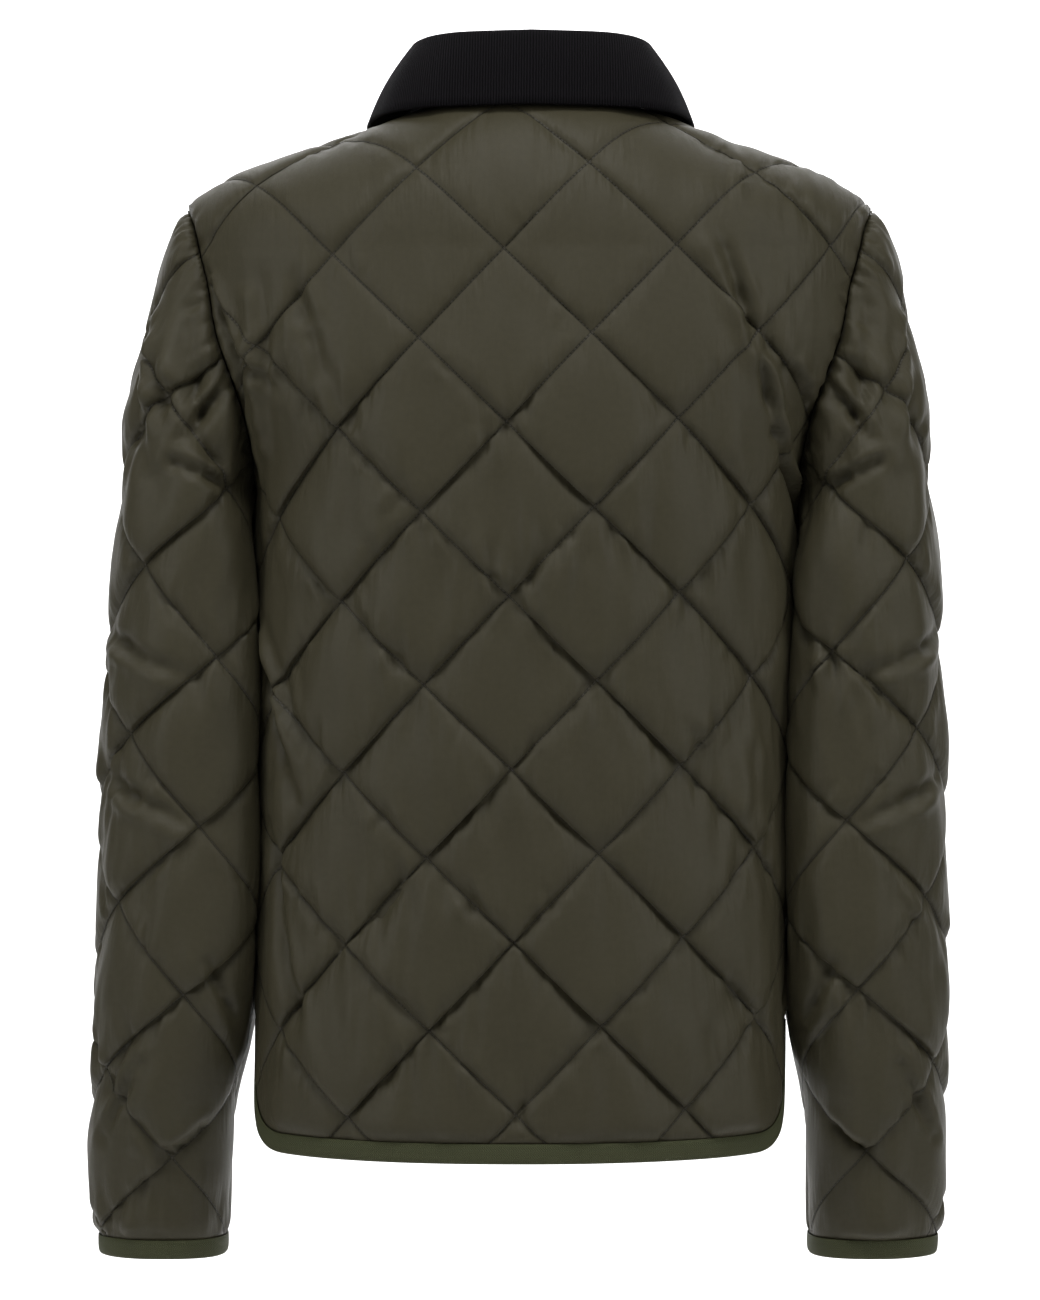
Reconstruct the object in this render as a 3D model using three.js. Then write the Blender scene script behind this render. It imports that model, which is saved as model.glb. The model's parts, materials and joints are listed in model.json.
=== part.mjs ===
// Quilted jacket with a corduroy collar, filled out as if worn, with nobody in it.
// Millimetres, +Z up, the back towards +Y, the wearer's left towards +X.
// The origin is the middle of the neck, level with the side-neck points.
import * as THREE from 'three';

// Cloth
const WALL = 2.4; // quilted cloth, shell to lining, between the puffs
const PUFF = 6.5; // how far a diamond swells in its middle
const DIAMOND = 107; // quilting diamond on its point, corner to corner
const CELLS = 3; // mesh cells in half a diamond
const SEAM_GAP = 0.3; // between two pieces at a seam
const SEAM_FADE = 16; // the puffs flatten out this close to a seam
const NECK_FADE = 45; // and this close to the neckline, under the collar
const ARMPIT_FADE = { from: 18, to: 80 }; // and near the armpit, where sleeve and body face each other
const SEAM_STEP = 16; // spacing of the points along a seam
const LEAN = 0.0115; // the hem hangs this much to the wearer's left, per unit of height

// Heights of the cut
const Z_BLADE = -100; // shoulder-blade level, where the body turns over into the shoulders
const Z_ARMPIT = -250;
const Z_SHOULDER_POINT = -68.5;
const Z_VENT = -585;
const Z_HEM_BACK = -667;
const Z_HEM_FRONT = -657;
const Z_CUFF = -738;
const HEM_RISE = 5; // the back hem is this much higher at the sides

// Body sections
const BODY_POWER = 2.3; // superellipse power of a horizontal section
const BACK_POWER = 2.5; // of the back, where it turns over the shoulder
const FRONT_POWER = 1.9; // of the front, which slopes more
const BLADE_HALF_WIDTH = 220;
const X_NECK = 78; // side-neck point
const Y_NECK_BACK = 72.5; // neckline at the centre back
const Z_NECK_SIDE = -8;
const Z_NECK_FRONT = -80; // neckline at the centre front
const X_SHOULDER_POINT = 218;
const LAP = 20; // each front passes the centre line by this much
const LAP_GAP = 2.5; // air between the two fronts, which leaves room for their tapes
const LAP_RAMP = { from: 30, to: 46 }; // the left front climbs over the right one between these
const PLACKET = 56; // flat stitched strip along each front edge

// Bindings
const TAPE = 12.5; // width on each side of the edge
const TAPE_LIFT = 0.9; // the tape stands this much proud of the cloth
const VENT_GAP = 1; // from the vent edge to the side line
const CORNER_ACROSS = 30; // rounded corner between vent and hem
const CORNER_UP = 42;

// Press studs
const SNAP_RADIUS = 7.5;
const SNAP_HEIGHT = 2.6;
const SNAP_HEIGHTS = [-108, -216, -324, -432, -540];
const SNAP_SIDES = 12;

// Collar
const COLLAR_WALL = 2.2;
const COLLAR_SEAT = 1.6; // from the neckline to the middle of the stand's lower edge
const COLLAR_FRONT_TURN = 168; // the collar ends this many degrees from the centre back
const COLLAR_SECTIONS = 16; // on each side of the centre back

// Depth of the body at each height, from the side line back and forward, and its half-width under the arms
const BODY = [
  { z: -700, back: 105, front: 104, half: 168.5 },
  { z: -640, back: 105, front: 104, half: 168.5 },
  { z: -550, back: 106, front: 105, half: 168.5 },
  { z: -450, back: 109, front: 109, half: 168.5 },
  { z: -350, back: 114, front: 114, half: 171 },
  { z: -300, back: 118, front: 117, half: 172 },
  { z: -250, back: 122, front: 120, half: 172.3 },
  { z: -180, back: 124, front: 121, half: 172.3 },
  { z: -130, back: 121, front: 119, half: 172.3 },
  { z: -100, back: 118, front: 118, half: 172.3 },
];

// Height of the shoulder seam, out from the neck; the rows inside the neckline only shape the cloth below it
const SHOULDER = [
  { x: 0, z: 14 },
  { x: 40, z: 7 },
  { x: 78, z: -8 },
  { x: 104, z: -19.5 },
  { x: 126, z: -28 },
  { x: 149, z: -36 },
  { x: 171, z: -43 },
  { x: 191, z: -51 },
  { x: 205, z: -59 },
  { x: 213, z: -64.5 },
  { x: 218, z: -68.5 },
  { x: 225, z: -76 },
];

// Armhole seam: how far out it runs, how far the sleeve stands out there,
// and the angle round the sleeve at which the seam lies, from the outer line
const ARMHOLE = [
  { z: -68.5, seam: 218, outer: 218.2, angle: 90, depth: 0 },
  { z: -70.5, seam: 216.8, outer: 220.8, angle: 92, depth: 0 },
  { z: -75, seam: 214.5, outer: 223.8, angle: 95, depth: 0 },
  { z: -84, seam: 211, outer: 227.6, angle: 95, depth: 0 },
  { z: -100, seam: 207, outer: 233.2, angle: 95, depth: 50 },
  { z: -120, seam: 201.5, outer: 237.6, angle: 95, depth: 56 },
  { z: -150, seam: 196, outer: 243.4, angle: 97, depth: 62 },
  { z: -180, seam: 185.5, outer: 249.3, angle: 115, depth: 65 },
  { z: -200, seam: 179, outer: 252.6, angle: 130, depth: 66 },
  { z: -225, seam: 174.3, outer: 253.8, angle: 152, depth: 66.5 },
  { z: -240, seam: 172.8, outer: 254.8, angle: 168, depth: 66.3 },
  { z: -250, seam: 172.3, outer: 255.6, angle: 180, depth: 66 },
];
const ARMHOLE_SAMPLES = [-68.5, -70.5, -75, -84, -97, -112, -128, -144, -160, -176, -192, -207, -221, -233, -243, -250];

// Sleeve below the armpit: inner and outer edge seen from behind, half depth, and how far it hangs back
// Down to the elbow its inner side lies flat along the body, so the rows there reach past it
const SLEEVE = [
  { z: -250, inner: 172.3, outer: 255.6, depth: 66, back: 0 },
  { z: -275, inner: 171.5, outer: 258.6, depth: 65, back: 0 },
  { z: -300, inner: 170.5, outer: 260.6, depth: 63.5, back: 0 },
  { z: -350, inner: 170, outer: 263, depth: 61, back: 0 },
  { z: -400, inner: 170, outer: 265.6, depth: 59, back: -1 },
  { z: -500, inner: 171, outer: 268, depth: 55, back: -7 },
  { z: -560, inner: 173.5, outer: 269.4, depth: 51.5, back: -14 },
  { z: -600, inner: 180, outer: 270.4, depth: 49, back: -20 },
  { z: -640, inner: 184, outer: 271, depth: 46.5, back: -25 },
  { z: -700, inner: 187, outer: 271, depth: 43.5, back: -31 },
  { z: -738, inner: 188, outer: 269.8, depth: 42, back: -35 },
];
const TOUCH_GAP = 2.6; // least space between the plain cloth of the body and of a sleeve beside it
const TOUCH_ROUND = 6; // how softly the sleeve turns where it starts to lie along the body
const TOUCH_DEPTH = { from: 250, to: 290 }; // the gap opens out between these depths below the neck
const TOUCH_FADE = { from: 34, to: 74 }; // the puffs flatten out this far from the side line and the underarm seam
const TOUCH_PUFF = 0.2; // share of the puff that is left there

// Where the quilting lies on each panel: one crossing of its lines, in flat arc lengths, and its slant
const QUILT = {
  back: { across: 16, along: -1.6, slant: -0.026 },
  front: { across: 0, along: -1.6, slant: 0 },
  sleeve_left: { across: 68, along: 61, slant: 0.092 },
  sleeve_right: { across: 68, along: 65, slant: 0.092 },
};

// Largest folds: soft ridges and troughs along a line on a flat panel, from one end to the other
const FOLDS = {
  back: [
    { s1: 205, t1: -10, s2: 168, t2: -180, width: 15, rise: -5 },
    { s1: 182, t1: -20, s2: 150, t2: -120, width: 14, rise: 4 },
    { s1: 245, t1: -300, s2: 205, t2: -425, width: 14, rise: -5 },
    { s1: -205, t1: -10, s2: -165, t2: -190, width: 15, rise: -5 },
    { s1: -180, t1: -30, s2: -150, t2: -150, width: 14, rise: 4 },
    { s1: -248, t1: -330, s2: -215, t2: -450, width: 14, rise: -4 },
  ],
  front: [
    { s1: 200, t1: -20, s2: 160, t2: -190, width: 15, rise: -5 },
    { s1: 176, t1: -40, s2: 140, t2: -150, width: 14, rise: 4 },
    { s1: 245, t1: -310, s2: 200, t2: -430, width: 14, rise: -5 },
  ],
  sleeve: [
    { s1: 62, t1: 120, s2: 108, t2: -10, width: 14, rise: -4 },
    { s1: 20, t1: -330, s2: 95, t2: -365, width: 12, rise: -4 },
    { s1: 40, t1: -425, s2: 110, t2: -400, width: 11, rise: -4 },
    { s1: -25, t1: -250, s2: -100, t2: -215, width: 13, rise: -4 },
    { s1: -20, t1: -290, s2: -95, t2: -300, width: 12, rise: 4 },
  ],
};

// Collar lines on the wearer's left: the fold at its top and the edge of its fall,
// by the turn round the neck from the centre back, in degrees
const COLLAR = [
  { turn: 0, foldX: 0, foldY: 62, foldZ: 37.5, edgeX: 0, edgeY: 95, edgeZ: -10 },
  { turn: 35, foldX: 43, foldY: 51, foldZ: 37.5, edgeX: 60, edgeY: 82, edgeZ: -10.5 },
  { turn: 65, foldX: 67, foldY: 27, foldZ: 36.5, edgeX: 94, edgeY: 45, edgeZ: -11.5 },
  { turn: 90, foldX: 73.5, foldY: -6, foldZ: 33, edgeX: 104, edgeY: -4, edgeZ: -15 },
  { turn: 115, foldX: 63, foldY: -64, foldZ: 0, edgeX: 97, edgeY: -68, edgeZ: -26 },
  { turn: 140, foldX: 42, foldY: -90, foldZ: -29, edgeX: 76, edgeY: -114, edgeZ: -56 },
  { turn: 168, foldX: 9, foldY: -104, foldZ: -45, edgeX: 45, edgeY: -130, edgeZ: -97 },
];

const CLOTH = { color: 0x43402f, roughness: 0.55, metalness: 0 };
const CORDUROY = { color: 0x15141a, roughness: 0.95, metalness: 0 };
const TAPE_CLOTH = { color: 0x45462f, roughness: 0.75, metalness: 0 };
const STUD_METAL = { color: 0x2b2a26, roughness: 0.4, metalness: 0.8 };

// A smooth curve through a table's column, which never overshoots its rows
function column(table, key, name) {
  const rows = [...table].sort((a, b) => a[key] - b[key]);
  const at = rows.map((row) => row[key]);
  const value = rows.map((row) => row[name]);
  const rise = at.slice(1).map((end, i) => (value[i + 1] - value[i]) / (end - at[i]));
  const slope = value.map((_, i) => {
    if (i === 0) return rise[0];
    if (i === value.length - 1) return rise[i - 1];
    if (rise[i - 1] * rise[i] <= 0) return 0;
    return 2 / (1 / rise[i - 1] + 1 / rise[i]);
  });
  return (x) => {
    const clamped = Math.min(Math.max(x, at[0]), at[at.length - 1]);
    let i = 0;
    while (i < rise.length - 1 && clamped > at[i + 1]) i += 1;
    const step = at[i + 1] - at[i];
    const u = (clamped - at[i]) / step;
    const bend = u * u * (3 - 2 * u);
    const start = value[i] + (value[i + 1] - value[i]) * bend;
    return start + step * (slope[i] * u * (1 - u) ** 2 - slope[i + 1] * u * u * (1 - u));
  };
}

const smooth = (from, to, x) => {
  const u = Math.min(Math.max((x - from) / (to - from), 0), 1);
  return u * u * (3 - 2 * u);
};

const bodyDepth = { back: column(BODY, 'z', 'back'), front: column(BODY, 'z', 'front') };
const bodyHalf = column(BODY, 'z', 'half');
const shoulderHeight = column(SHOULDER, 'x', 'z');
const armholeSeam = column(ARMHOLE, 'z', 'seam');
const armholeOuter = column(ARMHOLE, 'z', 'outer');
const armholeAngle = column(ARMHOLE, 'z', 'angle');
const armholeDepth = column(ARMHOLE, 'z', 'depth');

// Arc-length table of a quarter curve; point(angle) gives { x, y } for 0 to 90 degrees
const ARC_STEPS = 60;
function arcTable(point, steps = ARC_STEPS, full = Math.PI / 2) {
  const list = [];
  let length = 0;
  for (let i = 0; i <= steps; i += 1) {
    const here = point((full * i) / steps);
    if (i > 0) length += Math.hypot(here.x - list[i - 1].x, here.y - list[i - 1].y);
    list.push({ x: here.x, y: here.y, length });
  }
  const seek = (key, value, descending) => {
    let i = 1;
    while (i < steps && (descending ? list[i][key] > value : list[i][key] < value)) i += 1;
    const a = list[i - 1];
    const b = list[i];
    const u = Math.min(Math.max((value - a[key]) / (b[key] - a[key] || 1), 0), 1);
    return { x: a.x + (b.x - a.x) * u, y: a.y + (b.y - a.y) * u, length: a.length + (b.length - a.length) * u };
  };
  return { total: length, byLength: (s) => seek('length', s, false), byX: (x) => seek('x', x, false), byY: (y) => seek('y', y, true) };
}

// Half-width that a horizontal body section needs, to pass through the armhole seam
function bodyWidth(z, depth) {
  if (z <= Z_ARMPIT) return bodyHalf(z);
  if (z >= Z_BLADE) return BLADE_HALF_WIDTH;
  const inward = (armholeAngle(z) * Math.PI) / 180;
  const seamY = armholeDepth(z) * Math.sin(inward);
  return armholeSeam(z) / (1 - (seamY / depth) ** BODY_POWER) ** (1 / BODY_POWER);
}

const bodyRings = new Map();
function bodyRing(side, z) {
  const key = side + z.toFixed(3);
  if (!bodyRings.has(key)) {
    const depth = bodyDepth[side](z);
    const half = bodyWidth(z, depth);
    const round = 2 / BODY_POWER;
    bodyRings.set(key, arcTable((a) => ({ x: half * Math.sin(a) ** round, y: depth * Math.max(Math.cos(a), 0) ** round })));
  }
  return bodyRings.get(key);
}

// Section of the shoulder at one x, from the blade level up to the shoulder seam: x here is its height
function shoulderSection(side, x, depth) {
  const rise = shoulderHeight(x) - Z_BLADE;
  const round = 2 / (side === 'back' ? BACK_POWER : FRONT_POWER);
  return arcTable((a) => ({ x: rise * Math.sin(a) ** round, y: depth * Math.max(Math.cos(a), 0) ** round }));
}

// A point of the body's cloth, from flat arc lengths: s from the centre line, t up from the blade level
function bodyPoint(side, s, t) {
  const towards = side === 'back' ? 1 : -1;
  const ring = bodyRing(side, Z_BLADE + Math.min(t, 0)).byLength(Math.abs(s));
  const x = Math.sign(s) * ring.x;
  if (t <= 0) return new THREE.Vector3(x, towards * ring.y, Z_BLADE + t);
  const up = shoulderSection(side, ring.x, ring.y).byLength(t);
  return new THREE.Vector3(x, towards * up.y, Z_BLADE + up.x);
}

// Flat place of a point of the body given by x and z, or by x and its distance from the seam plane
function bodyFlat(side, x, z) {
  if (z <= Z_BLADE) return { s: bodyRing(side, z).byX(x).length, t: z - Z_BLADE };
  const ring = bodyRing(side, Z_BLADE).byX(x);
  return { s: ring.length, t: shoulderSection(side, x, ring.y).byX(z - Z_BLADE).length };
}

function bodyFlatByDepth(side, x, y) {
  const ring = bodyRing(side, Z_BLADE).byX(x);
  return { s: ring.length, t: shoulderSection(side, x, ring.y).byY(y).length };
}

// Horizontal section of a sleeve: its middle, half-width, half depths and how far round its cloth goes
const sleeveColumns = {
  inner: column(SLEEVE, 'z', 'inner'),
  outer: column(SLEEVE, 'z', 'outer'),
  depth: column(SLEEVE, 'z', 'depth'),
  back: column(SLEEVE, 'z', 'back'),
};
const sleeveRings = new Map();
function sleeveRing(z) {
  const key = z.toFixed(3);
  if (!sleeveRings.has(key)) sleeveRings.set(key, makeSleeveRing(z));
  return sleeveRings.get(key);
}

function makeSleeveRing(z) {
  if (z <= Z_ARMPIT) {
    const outer = sleeveColumns.outer(z);
    const inner = sleeveColumns.inner(z);
    const depth = sleeveColumns.depth(z);
    return ringOf((outer + inner) / 2, (outer - inner) / 2, depth, depth, sleeveColumns.back(z), Math.PI, z);
  }
  const end = (armholeAngle(z) * Math.PI) / 180;
  const seam = armholeSeam(z);
  const outer = armholeOuter(z);
  const middle = (seam - outer * Math.cos(end)) / (1 - Math.cos(end));
  const depths = ['back', 'front'].map((side) => {
    if (z < Z_BLADE) return armholeDepth(z);
    const flat = bodyFlat(side, seam, z);
    return Math.abs(bodyPoint(side, flat.s, flat.t).y) / Math.sin(end);
  });
  return ringOf(middle, outer - middle, depths[0], depths[1], 0, end, z);
}

// Where the body's side stands, at one depth and height
function bodySide(y, z) {
  const depth = bodyDepth[y > 0 ? 'back' : 'front'](z);
  return bodyHalf(z) * Math.max(1 - (Math.abs(y) / depth) ** BODY_POWER, 0) ** (1 / BODY_POWER);
}

// A sleeve's point kept clear of the body beside it
function clearOfBody(x, y, z) {
  if (z > Z_ARMPIT) return x;
  const open = smooth(TOUCH_DEPTH.from, TOUCH_DEPTH.to, -z);
  const least = bodySide(y, z) + TOUCH_GAP * open;
  const away = x - least;
  return least + (away + Math.hypot(away, TOUCH_ROUND * open)) / 2;
}

const SLEEVE_STEPS = 90;
function ringOf(middle, half, depthBack, depthFront, shift, end, z) {
  const arcs = [depthBack, -depthFront].map((depth) => arcTable((a) => {
    const y = shift + depth * Math.sin(a);
    return { x: clearOfBody(middle + half * Math.cos(a), y, z), y };
  }, SLEEVE_STEPS, end));
  return { back: arcs[0], front: arcs[1] };
}

// Height of a sleeve section from its flat arc length along the outer line, which is 0 at the armpit
const SLEEVE_Z_STEP = 0.5;
const sleeveLine = [];
{
  let length = 0;
  let last = null;
  for (let z = Z_CUFF - 2 * SLEEVE_Z_STEP; z <= Z_SHOULDER_POINT + SLEEVE_Z_STEP / 2; z += SLEEVE_Z_STEP) {
    const outer = z <= Z_ARMPIT ? sleeveColumns.outer(z) : armholeOuter(z);
    const back = z <= Z_ARMPIT ? sleeveColumns.back(z) : 0;
    if (last) length += Math.hypot(SLEEVE_Z_STEP, outer - last.outer, back - last.back);
    last = { outer, back };
    sleeveLine.push({ z, length });
  }
  const level = sleeveLine.find((row) => row.z >= Z_ARMPIT).length;
  sleeveLine.forEach((row) => { row.length -= level; });
}
function sleeveHeight(t) {
  const rows = sleeveLine;
  let i = 1;
  while (i < rows.length - 1 && rows[i].length < t) i += 1;
  const u = (t - rows[i - 1].length) / (rows[i].length - rows[i - 1].length);
  return Math.min(rows[i - 1].z + (rows[i].z - rows[i - 1].z) * u, Z_SHOULDER_POINT);
}
function sleeveLength(z) {
  const u = (z - sleeveLine[0].z) / SLEEVE_Z_STEP;
  const i = Math.min(Math.max(Math.floor(u), 0), sleeveLine.length - 2);
  return sleeveLine[i].length + (sleeveLine[i + 1].length - sleeveLine[i].length) * (u - i);
}

// A point of the left sleeve's cloth: s is the arc length from the outer line, positive behind
function sleevePoint(s, t) {
  const z = sleeveHeight(t);
  const ring = sleeveRing(z);
  const arc = (s >= 0 ? ring.back : ring.front).byLength(Math.abs(s));
  return new THREE.Vector3(arc.x, arc.y, z);
}

// Surface normal, and the point moved along it
const NUDGE = 0.5;
function lifted(pointAt, facing, s, t, lift) {
  const across = pointAt(s + NUDGE, t).sub(pointAt(s - NUDGE, t));
  const along = pointAt(s, t + NUDGE).sub(pointAt(s, t - NUDGE));
  const normal = across.cross(along).normalize().multiplyScalar(facing);
  return pointAt(s, t).addScaledVector(normal, lift);
}

// Plane outlines
function turnedArea(points) {
  return points.reduce((sum, p, i) => {
    const q = points[(i + 1) % points.length];
    return sum + (p.s * q.t - q.s * p.t) / 2;
  }, 0);
}

function inset(points, distance) {
  return points.map((p, i) => {
    const before = points[(i + points.length - 1) % points.length];
    const after = points[(i + 1) % points.length];
    const a = new THREE.Vector2(p.s - before.s, p.t - before.t).normalize();
    const b = new THREE.Vector2(after.s - p.s, after.t - p.t).normalize();
    const normal = new THREE.Vector2(-a.y - b.y, a.x + b.x).normalize();
    const miter = Math.min(distance / Math.max(normal.dot(new THREE.Vector2(-a.y, a.x)), 0.35), 3 * distance);
    return { s: p.s + normal.x * miter, t: p.t + normal.y * miter };
  });
}

function segmentDistance(p, a, b) {
  const ds = b.s - a.s;
  const dt = b.t - a.t;
  const u = Math.min(Math.max(((p.s - a.s) * ds + (p.t - a.t) * dt) / (ds * ds + dt * dt || 1), 0), 1);
  return { u, distance: Math.hypot(p.s - a.s - u * ds, p.t - a.t - u * dt) };
}

function edgeDistance(p, outline) {
  let least = Infinity;
  outline.forEach((a, i) => {
    least = Math.min(least, segmentDistance(p, a, outline[(i + 1) % outline.length]).distance);
  });
  return least;
}

function isInside(p, outline) {
  let inside = false;
  outline.forEach((a, i) => {
    const b = outline[(i + 1) % outline.length];
    const crosses = a.t > p.t !== b.t > p.t;
    if (crosses && p.s < a.s + ((b.s - a.s) * (p.t - a.t)) / (b.t - a.t)) inside = !inside;
  });
  return inside;
}

// Height of the quilting and folds over the plain cloth
function puffHeight(quilt, p) {
  const ds = p.s - quilt.across;
  const dt = p.t - quilt.along;
  const turn = Math.atan(quilt.slant);
  const across = ds * Math.cos(turn) - dt * Math.sin(turn);
  const along = ds * Math.sin(turn) + dt * Math.cos(turn);
  const rising = Math.sin((Math.PI * (across + along)) / DIAMOND);
  const falling = Math.sin((Math.PI * (across - along)) / DIAMOND);
  return PUFF * Math.abs(rising * falling) ** 0.7;
}

function foldHeight(folds, p) {
  return folds.reduce((sum, fold) => {
    const near = segmentDistance(p, { s: fold.s1, t: fold.t1 }, { s: fold.s2, t: fold.t2 });
    const fade = Math.sin(Math.PI * Math.min(Math.max(near.u, 0.08), 0.92)) ** 0.5;
    return sum + fold.rise * fade * Math.exp(-((near.distance / fold.width) ** 2));
  }, 0);
}

// Mesh cells of the quilting grid that lie well inside an outline, and what is left round them
function gridCells(outline, quilt) {
  const cell = DIAMOND / 2 / CELLS;
  const turn = Math.atan(quilt.slant);
  const reach = Math.ceil(900 / cell);
  const nodes = new Map();
  const place = (i, j) => ({
    s: quilt.across + cell * (i * Math.cos(turn) + j * Math.sin(turn)),
    t: quilt.along + cell * (j * Math.cos(turn) - i * Math.sin(turn)),
  });
  for (let i = -reach; i <= reach; i += 1) {
    for (let j = -reach; j <= reach; j += 1) {
      const p = place(i, j);
      if (isInside(p, outline) && edgeDistance(p, outline) > 0.42 * cell) nodes.set(`${i},${j}`, p);
    }
  }
  const cells = new Set();
  nodes.forEach((_, key) => {
    const [i, j] = key.split(',').map(Number);
    const corners = [`${i + 1},${j}`, `${i},${j + 1}`, `${i + 1},${j + 1}`];
    if (corners.every((corner) => nodes.has(corner))) cells.add(key);
  });
  dropPinches(cells);
  return { nodes, cells };
}

// Two cells that touch only at a corner would pinch the mesh there, so one of them goes
function dropPinches(cells) {
  let changed = true;
  while (changed) {
    changed = false;
    [...cells].forEach((key) => {
      const [i, j] = key.split(',').map(Number);
      [[1, 1], [-1, 1]].forEach(([di, dj]) => {
        const alone = cells.has(`${i + di},${j + dj}`) && !cells.has(`${i + di},${j}`) && !cells.has(`${i},${j + dj}`);
        if (alone && cells.has(key)) {
          cells.delete(key);
          changed = true;
        }
      });
    });
  }
}

// Closed loops of grid nodes round the cells
function cellLoops(cells) {
  const next = new Map();
  cells.forEach((key) => {
    const [i, j] = key.split(',').map(Number);
    const sides = [
      [`${i},${j - 1}`, `${i},${j}`, `${i + 1},${j}`],
      [`${i + 1},${j}`, `${i + 1},${j}`, `${i + 1},${j + 1}`],
      [`${i},${j + 1}`, `${i + 1},${j + 1}`, `${i},${j + 1}`],
      [`${i - 1},${j}`, `${i},${j + 1}`, `${i},${j}`],
    ];
    sides.forEach(([neighbour, from, to]) => {
      if (!cells.has(neighbour)) next.set(from, to);
    });
  });
  const loops = [];
  while (next.size > 0) {
    const loop = [];
    let here = next.keys().next().value;
    while (next.has(here)) {
      loop.push(here);
      const after = next.get(here);
      next.delete(here);
      here = after;
    }
    loops.push(loop);
  }
  return loops;
}

// Joins a hole to the ring round it by the shortest bridge
function bridged(ring, hole, flat) {
  const gap = (i, j) => Math.hypot(flat[ring[i]].s - flat[hole[j]].s, flat[ring[i]].t - flat[hole[j]].t);
  let best = { i: 0, j: 0 };
  ring.forEach((_, i) => hole.forEach((__, j) => {
    if (gap(i, j) < gap(best.i, best.j)) best = { i, j };
  }));
  const round = [...hole.slice(best.j), ...hole.slice(0, best.j + 1)];
  return [...ring.slice(0, best.i + 1), ...round, ...ring.slice(best.i)];
}

// Triangles between an outline and the loops inside it: the best-shaped free corner is cut off each time
function borderFaces(outline, loops, flat) {
  let ring = outline;
  loops.forEach((loop) => {
    ring = bridged(ring, [...loop].reverse(), flat);
  });
  const area = (a, b, c) => turnedArea([flat[a], flat[b], flat[c]]);
  const side = (a, b) => Math.hypot(flat[a].s - flat[b].s, flat[a].t - flat[b].t);
  const quality = (k) => {
    const [a, b, c] = [-1, 0, 1].map((step) => ring[(k + step + ring.length) % ring.length]);
    const size = area(a, b, c);
    if (size < 1e-4 || a === c) return 0;
    const blocked = ring.some((id) => id !== a && id !== b && id !== c
      && area(a, b, id) > -1e-9 && area(b, c, id) > -1e-9 && area(c, a, id) > -1e-9);
    return blocked ? 0 : size / (side(a, b) ** 2 + side(b, c) ** 2 + side(c, a) ** 2);
  };
  const faces = [];
  while (ring.length > 3) {
    const scores = ring.map((_, k) => quality(k));
    const k = scores.indexOf(Math.max(...scores));
    if (scores[k] <= 0) throw new Error('No free corner left in a border');
    faces.push([-1, 0, 1].map((step) => ring[(k + step + ring.length) % ring.length]));
    ring = ring.filter((_, index) => index !== k);
  }
  faces.push(ring);
  return faces;
}

// A panel of quilted cloth: outer points raised by the quilting, a plain inside, and a rim round its edge
function panelGeometry({ outline, quilt, pointAt, facing, heightAt }) {
  const { nodes, cells } = gridCells(outline, quilt);
  const flat = [...outline];
  const ids = new Map();
  nodes.forEach((p, key) => {
    ids.set(key, flat.length);
    flat.push(p);
  });
  const faces = [];
  cells.forEach((key) => {
    const [i, j] = key.split(',').map(Number);
    const a = ids.get(key);
    const b = ids.get(`${i + 1},${j}`);
    const c = ids.get(`${i + 1},${j + 1}`);
    const d = ids.get(`${i},${j + 1}`);
    if (risesAcross(i, j)) faces.push([a, b, c], [a, c, d]);
    else faces.push([a, b, d], [b, c, d]);
  });
  const loops = cellLoops(cells).map((loop) => loop.map((key) => ids.get(key)));
  faces.push(...borderFaces([...outline.keys()], loops, flat));
  const used = [...new Set(faces.flat())];
  const renumber = new Map(used.map((id, index) => [id, index]));
  const outer = used.map((id) => lifted(pointAt, facing, flat[id].s, flat[id].t, heightAt(flat[id]).outer));
  const inner = used.map((id) => lifted(pointAt, facing, flat[id].s, flat[id].t, heightAt(flat[id]).inner));
  const shift = used.length;
  const triangles = [];
  faces.forEach((face) => {
    const [a, b, c] = face.map((id) => renumber.get(id));
    triangles.push([a, b, c], [a + shift, c + shift, b + shift]);
  });
  outline.forEach((_, i) => {
    const a = renumber.get(i);
    const b = renumber.get((i + 1) % outline.length);
    triangles.push([b, a, a + shift], [b, a + shift, b + shift]);
  });
  return solid([...outer, ...inner], triangles);
}

// Which way the quilting line runs through or past a cell
function risesAcross(i, j) {
  const halfTurns = Math.floor(i / CELLS) + Math.floor(j / CELLS);
  return ((halfTurns % 2) + 2) % 2 === 0;
}

// Indexed geometry, turned so that its faces point out, leaning as the jacket hangs
function solid(points, triangles) {
  const volume = triangles.reduce((sum, [a, b, c]) =>
    sum + points[a].dot(points[b].clone().cross(points[c])) / 6, 0);
  const geometry = new THREE.BufferGeometry();
  const leaning = points.flatMap((p) => [p.x - LEAN * p.z, p.y, p.z]);
  geometry.setAttribute('position', new THREE.Float32BufferAttribute(leaning, 3));
  geometry.setIndex(triangles.flatMap(([a, b, c]) => (volume > 0 ? [a, b, c] : [a, c, b])));
  geometry.computeVertexNormals();
  return geometry;
}

// A bar of constant section along a path: rings of points in order, capped at both ends or closed
function barSolid(rings) {
  const count = rings[0].length;
  const points = rings.flat();
  const triangles = [];
  for (let k = 0; k + 1 < rings.length; k += 1) {
    for (let m = 0; m < count; m += 1) {
      const a = k * count + m;
      const b = k * count + ((m + 1) % count);
      triangles.push([a, b, b + count], [a, b + count, a + count]);
    }
  }
  const last = (rings.length - 1) * count;
  for (let m = 1; m + 1 < count / 2; m += 1) {
    capStrip(triangles, m, count, 0, true);
    capStrip(triangles, m, count, last, false);
  }
  capEnds(triangles, count, 0, true);
  capEnds(triangles, count, last, false);
  return solid(points, triangles);
}

// An end cap is a ladder between the section's outer and inner side
function capStrip(triangles, m, count, base, reversed) {
  const a = base + m;
  const b = base + m + 1;
  const c = base + count - 1 - m - 1;
  const d = base + count - 1 - m;
  if (reversed) triangles.push([a, c, b], [a, d, c]);
  else triangles.push([a, b, c], [a, c, d]);
}

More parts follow.
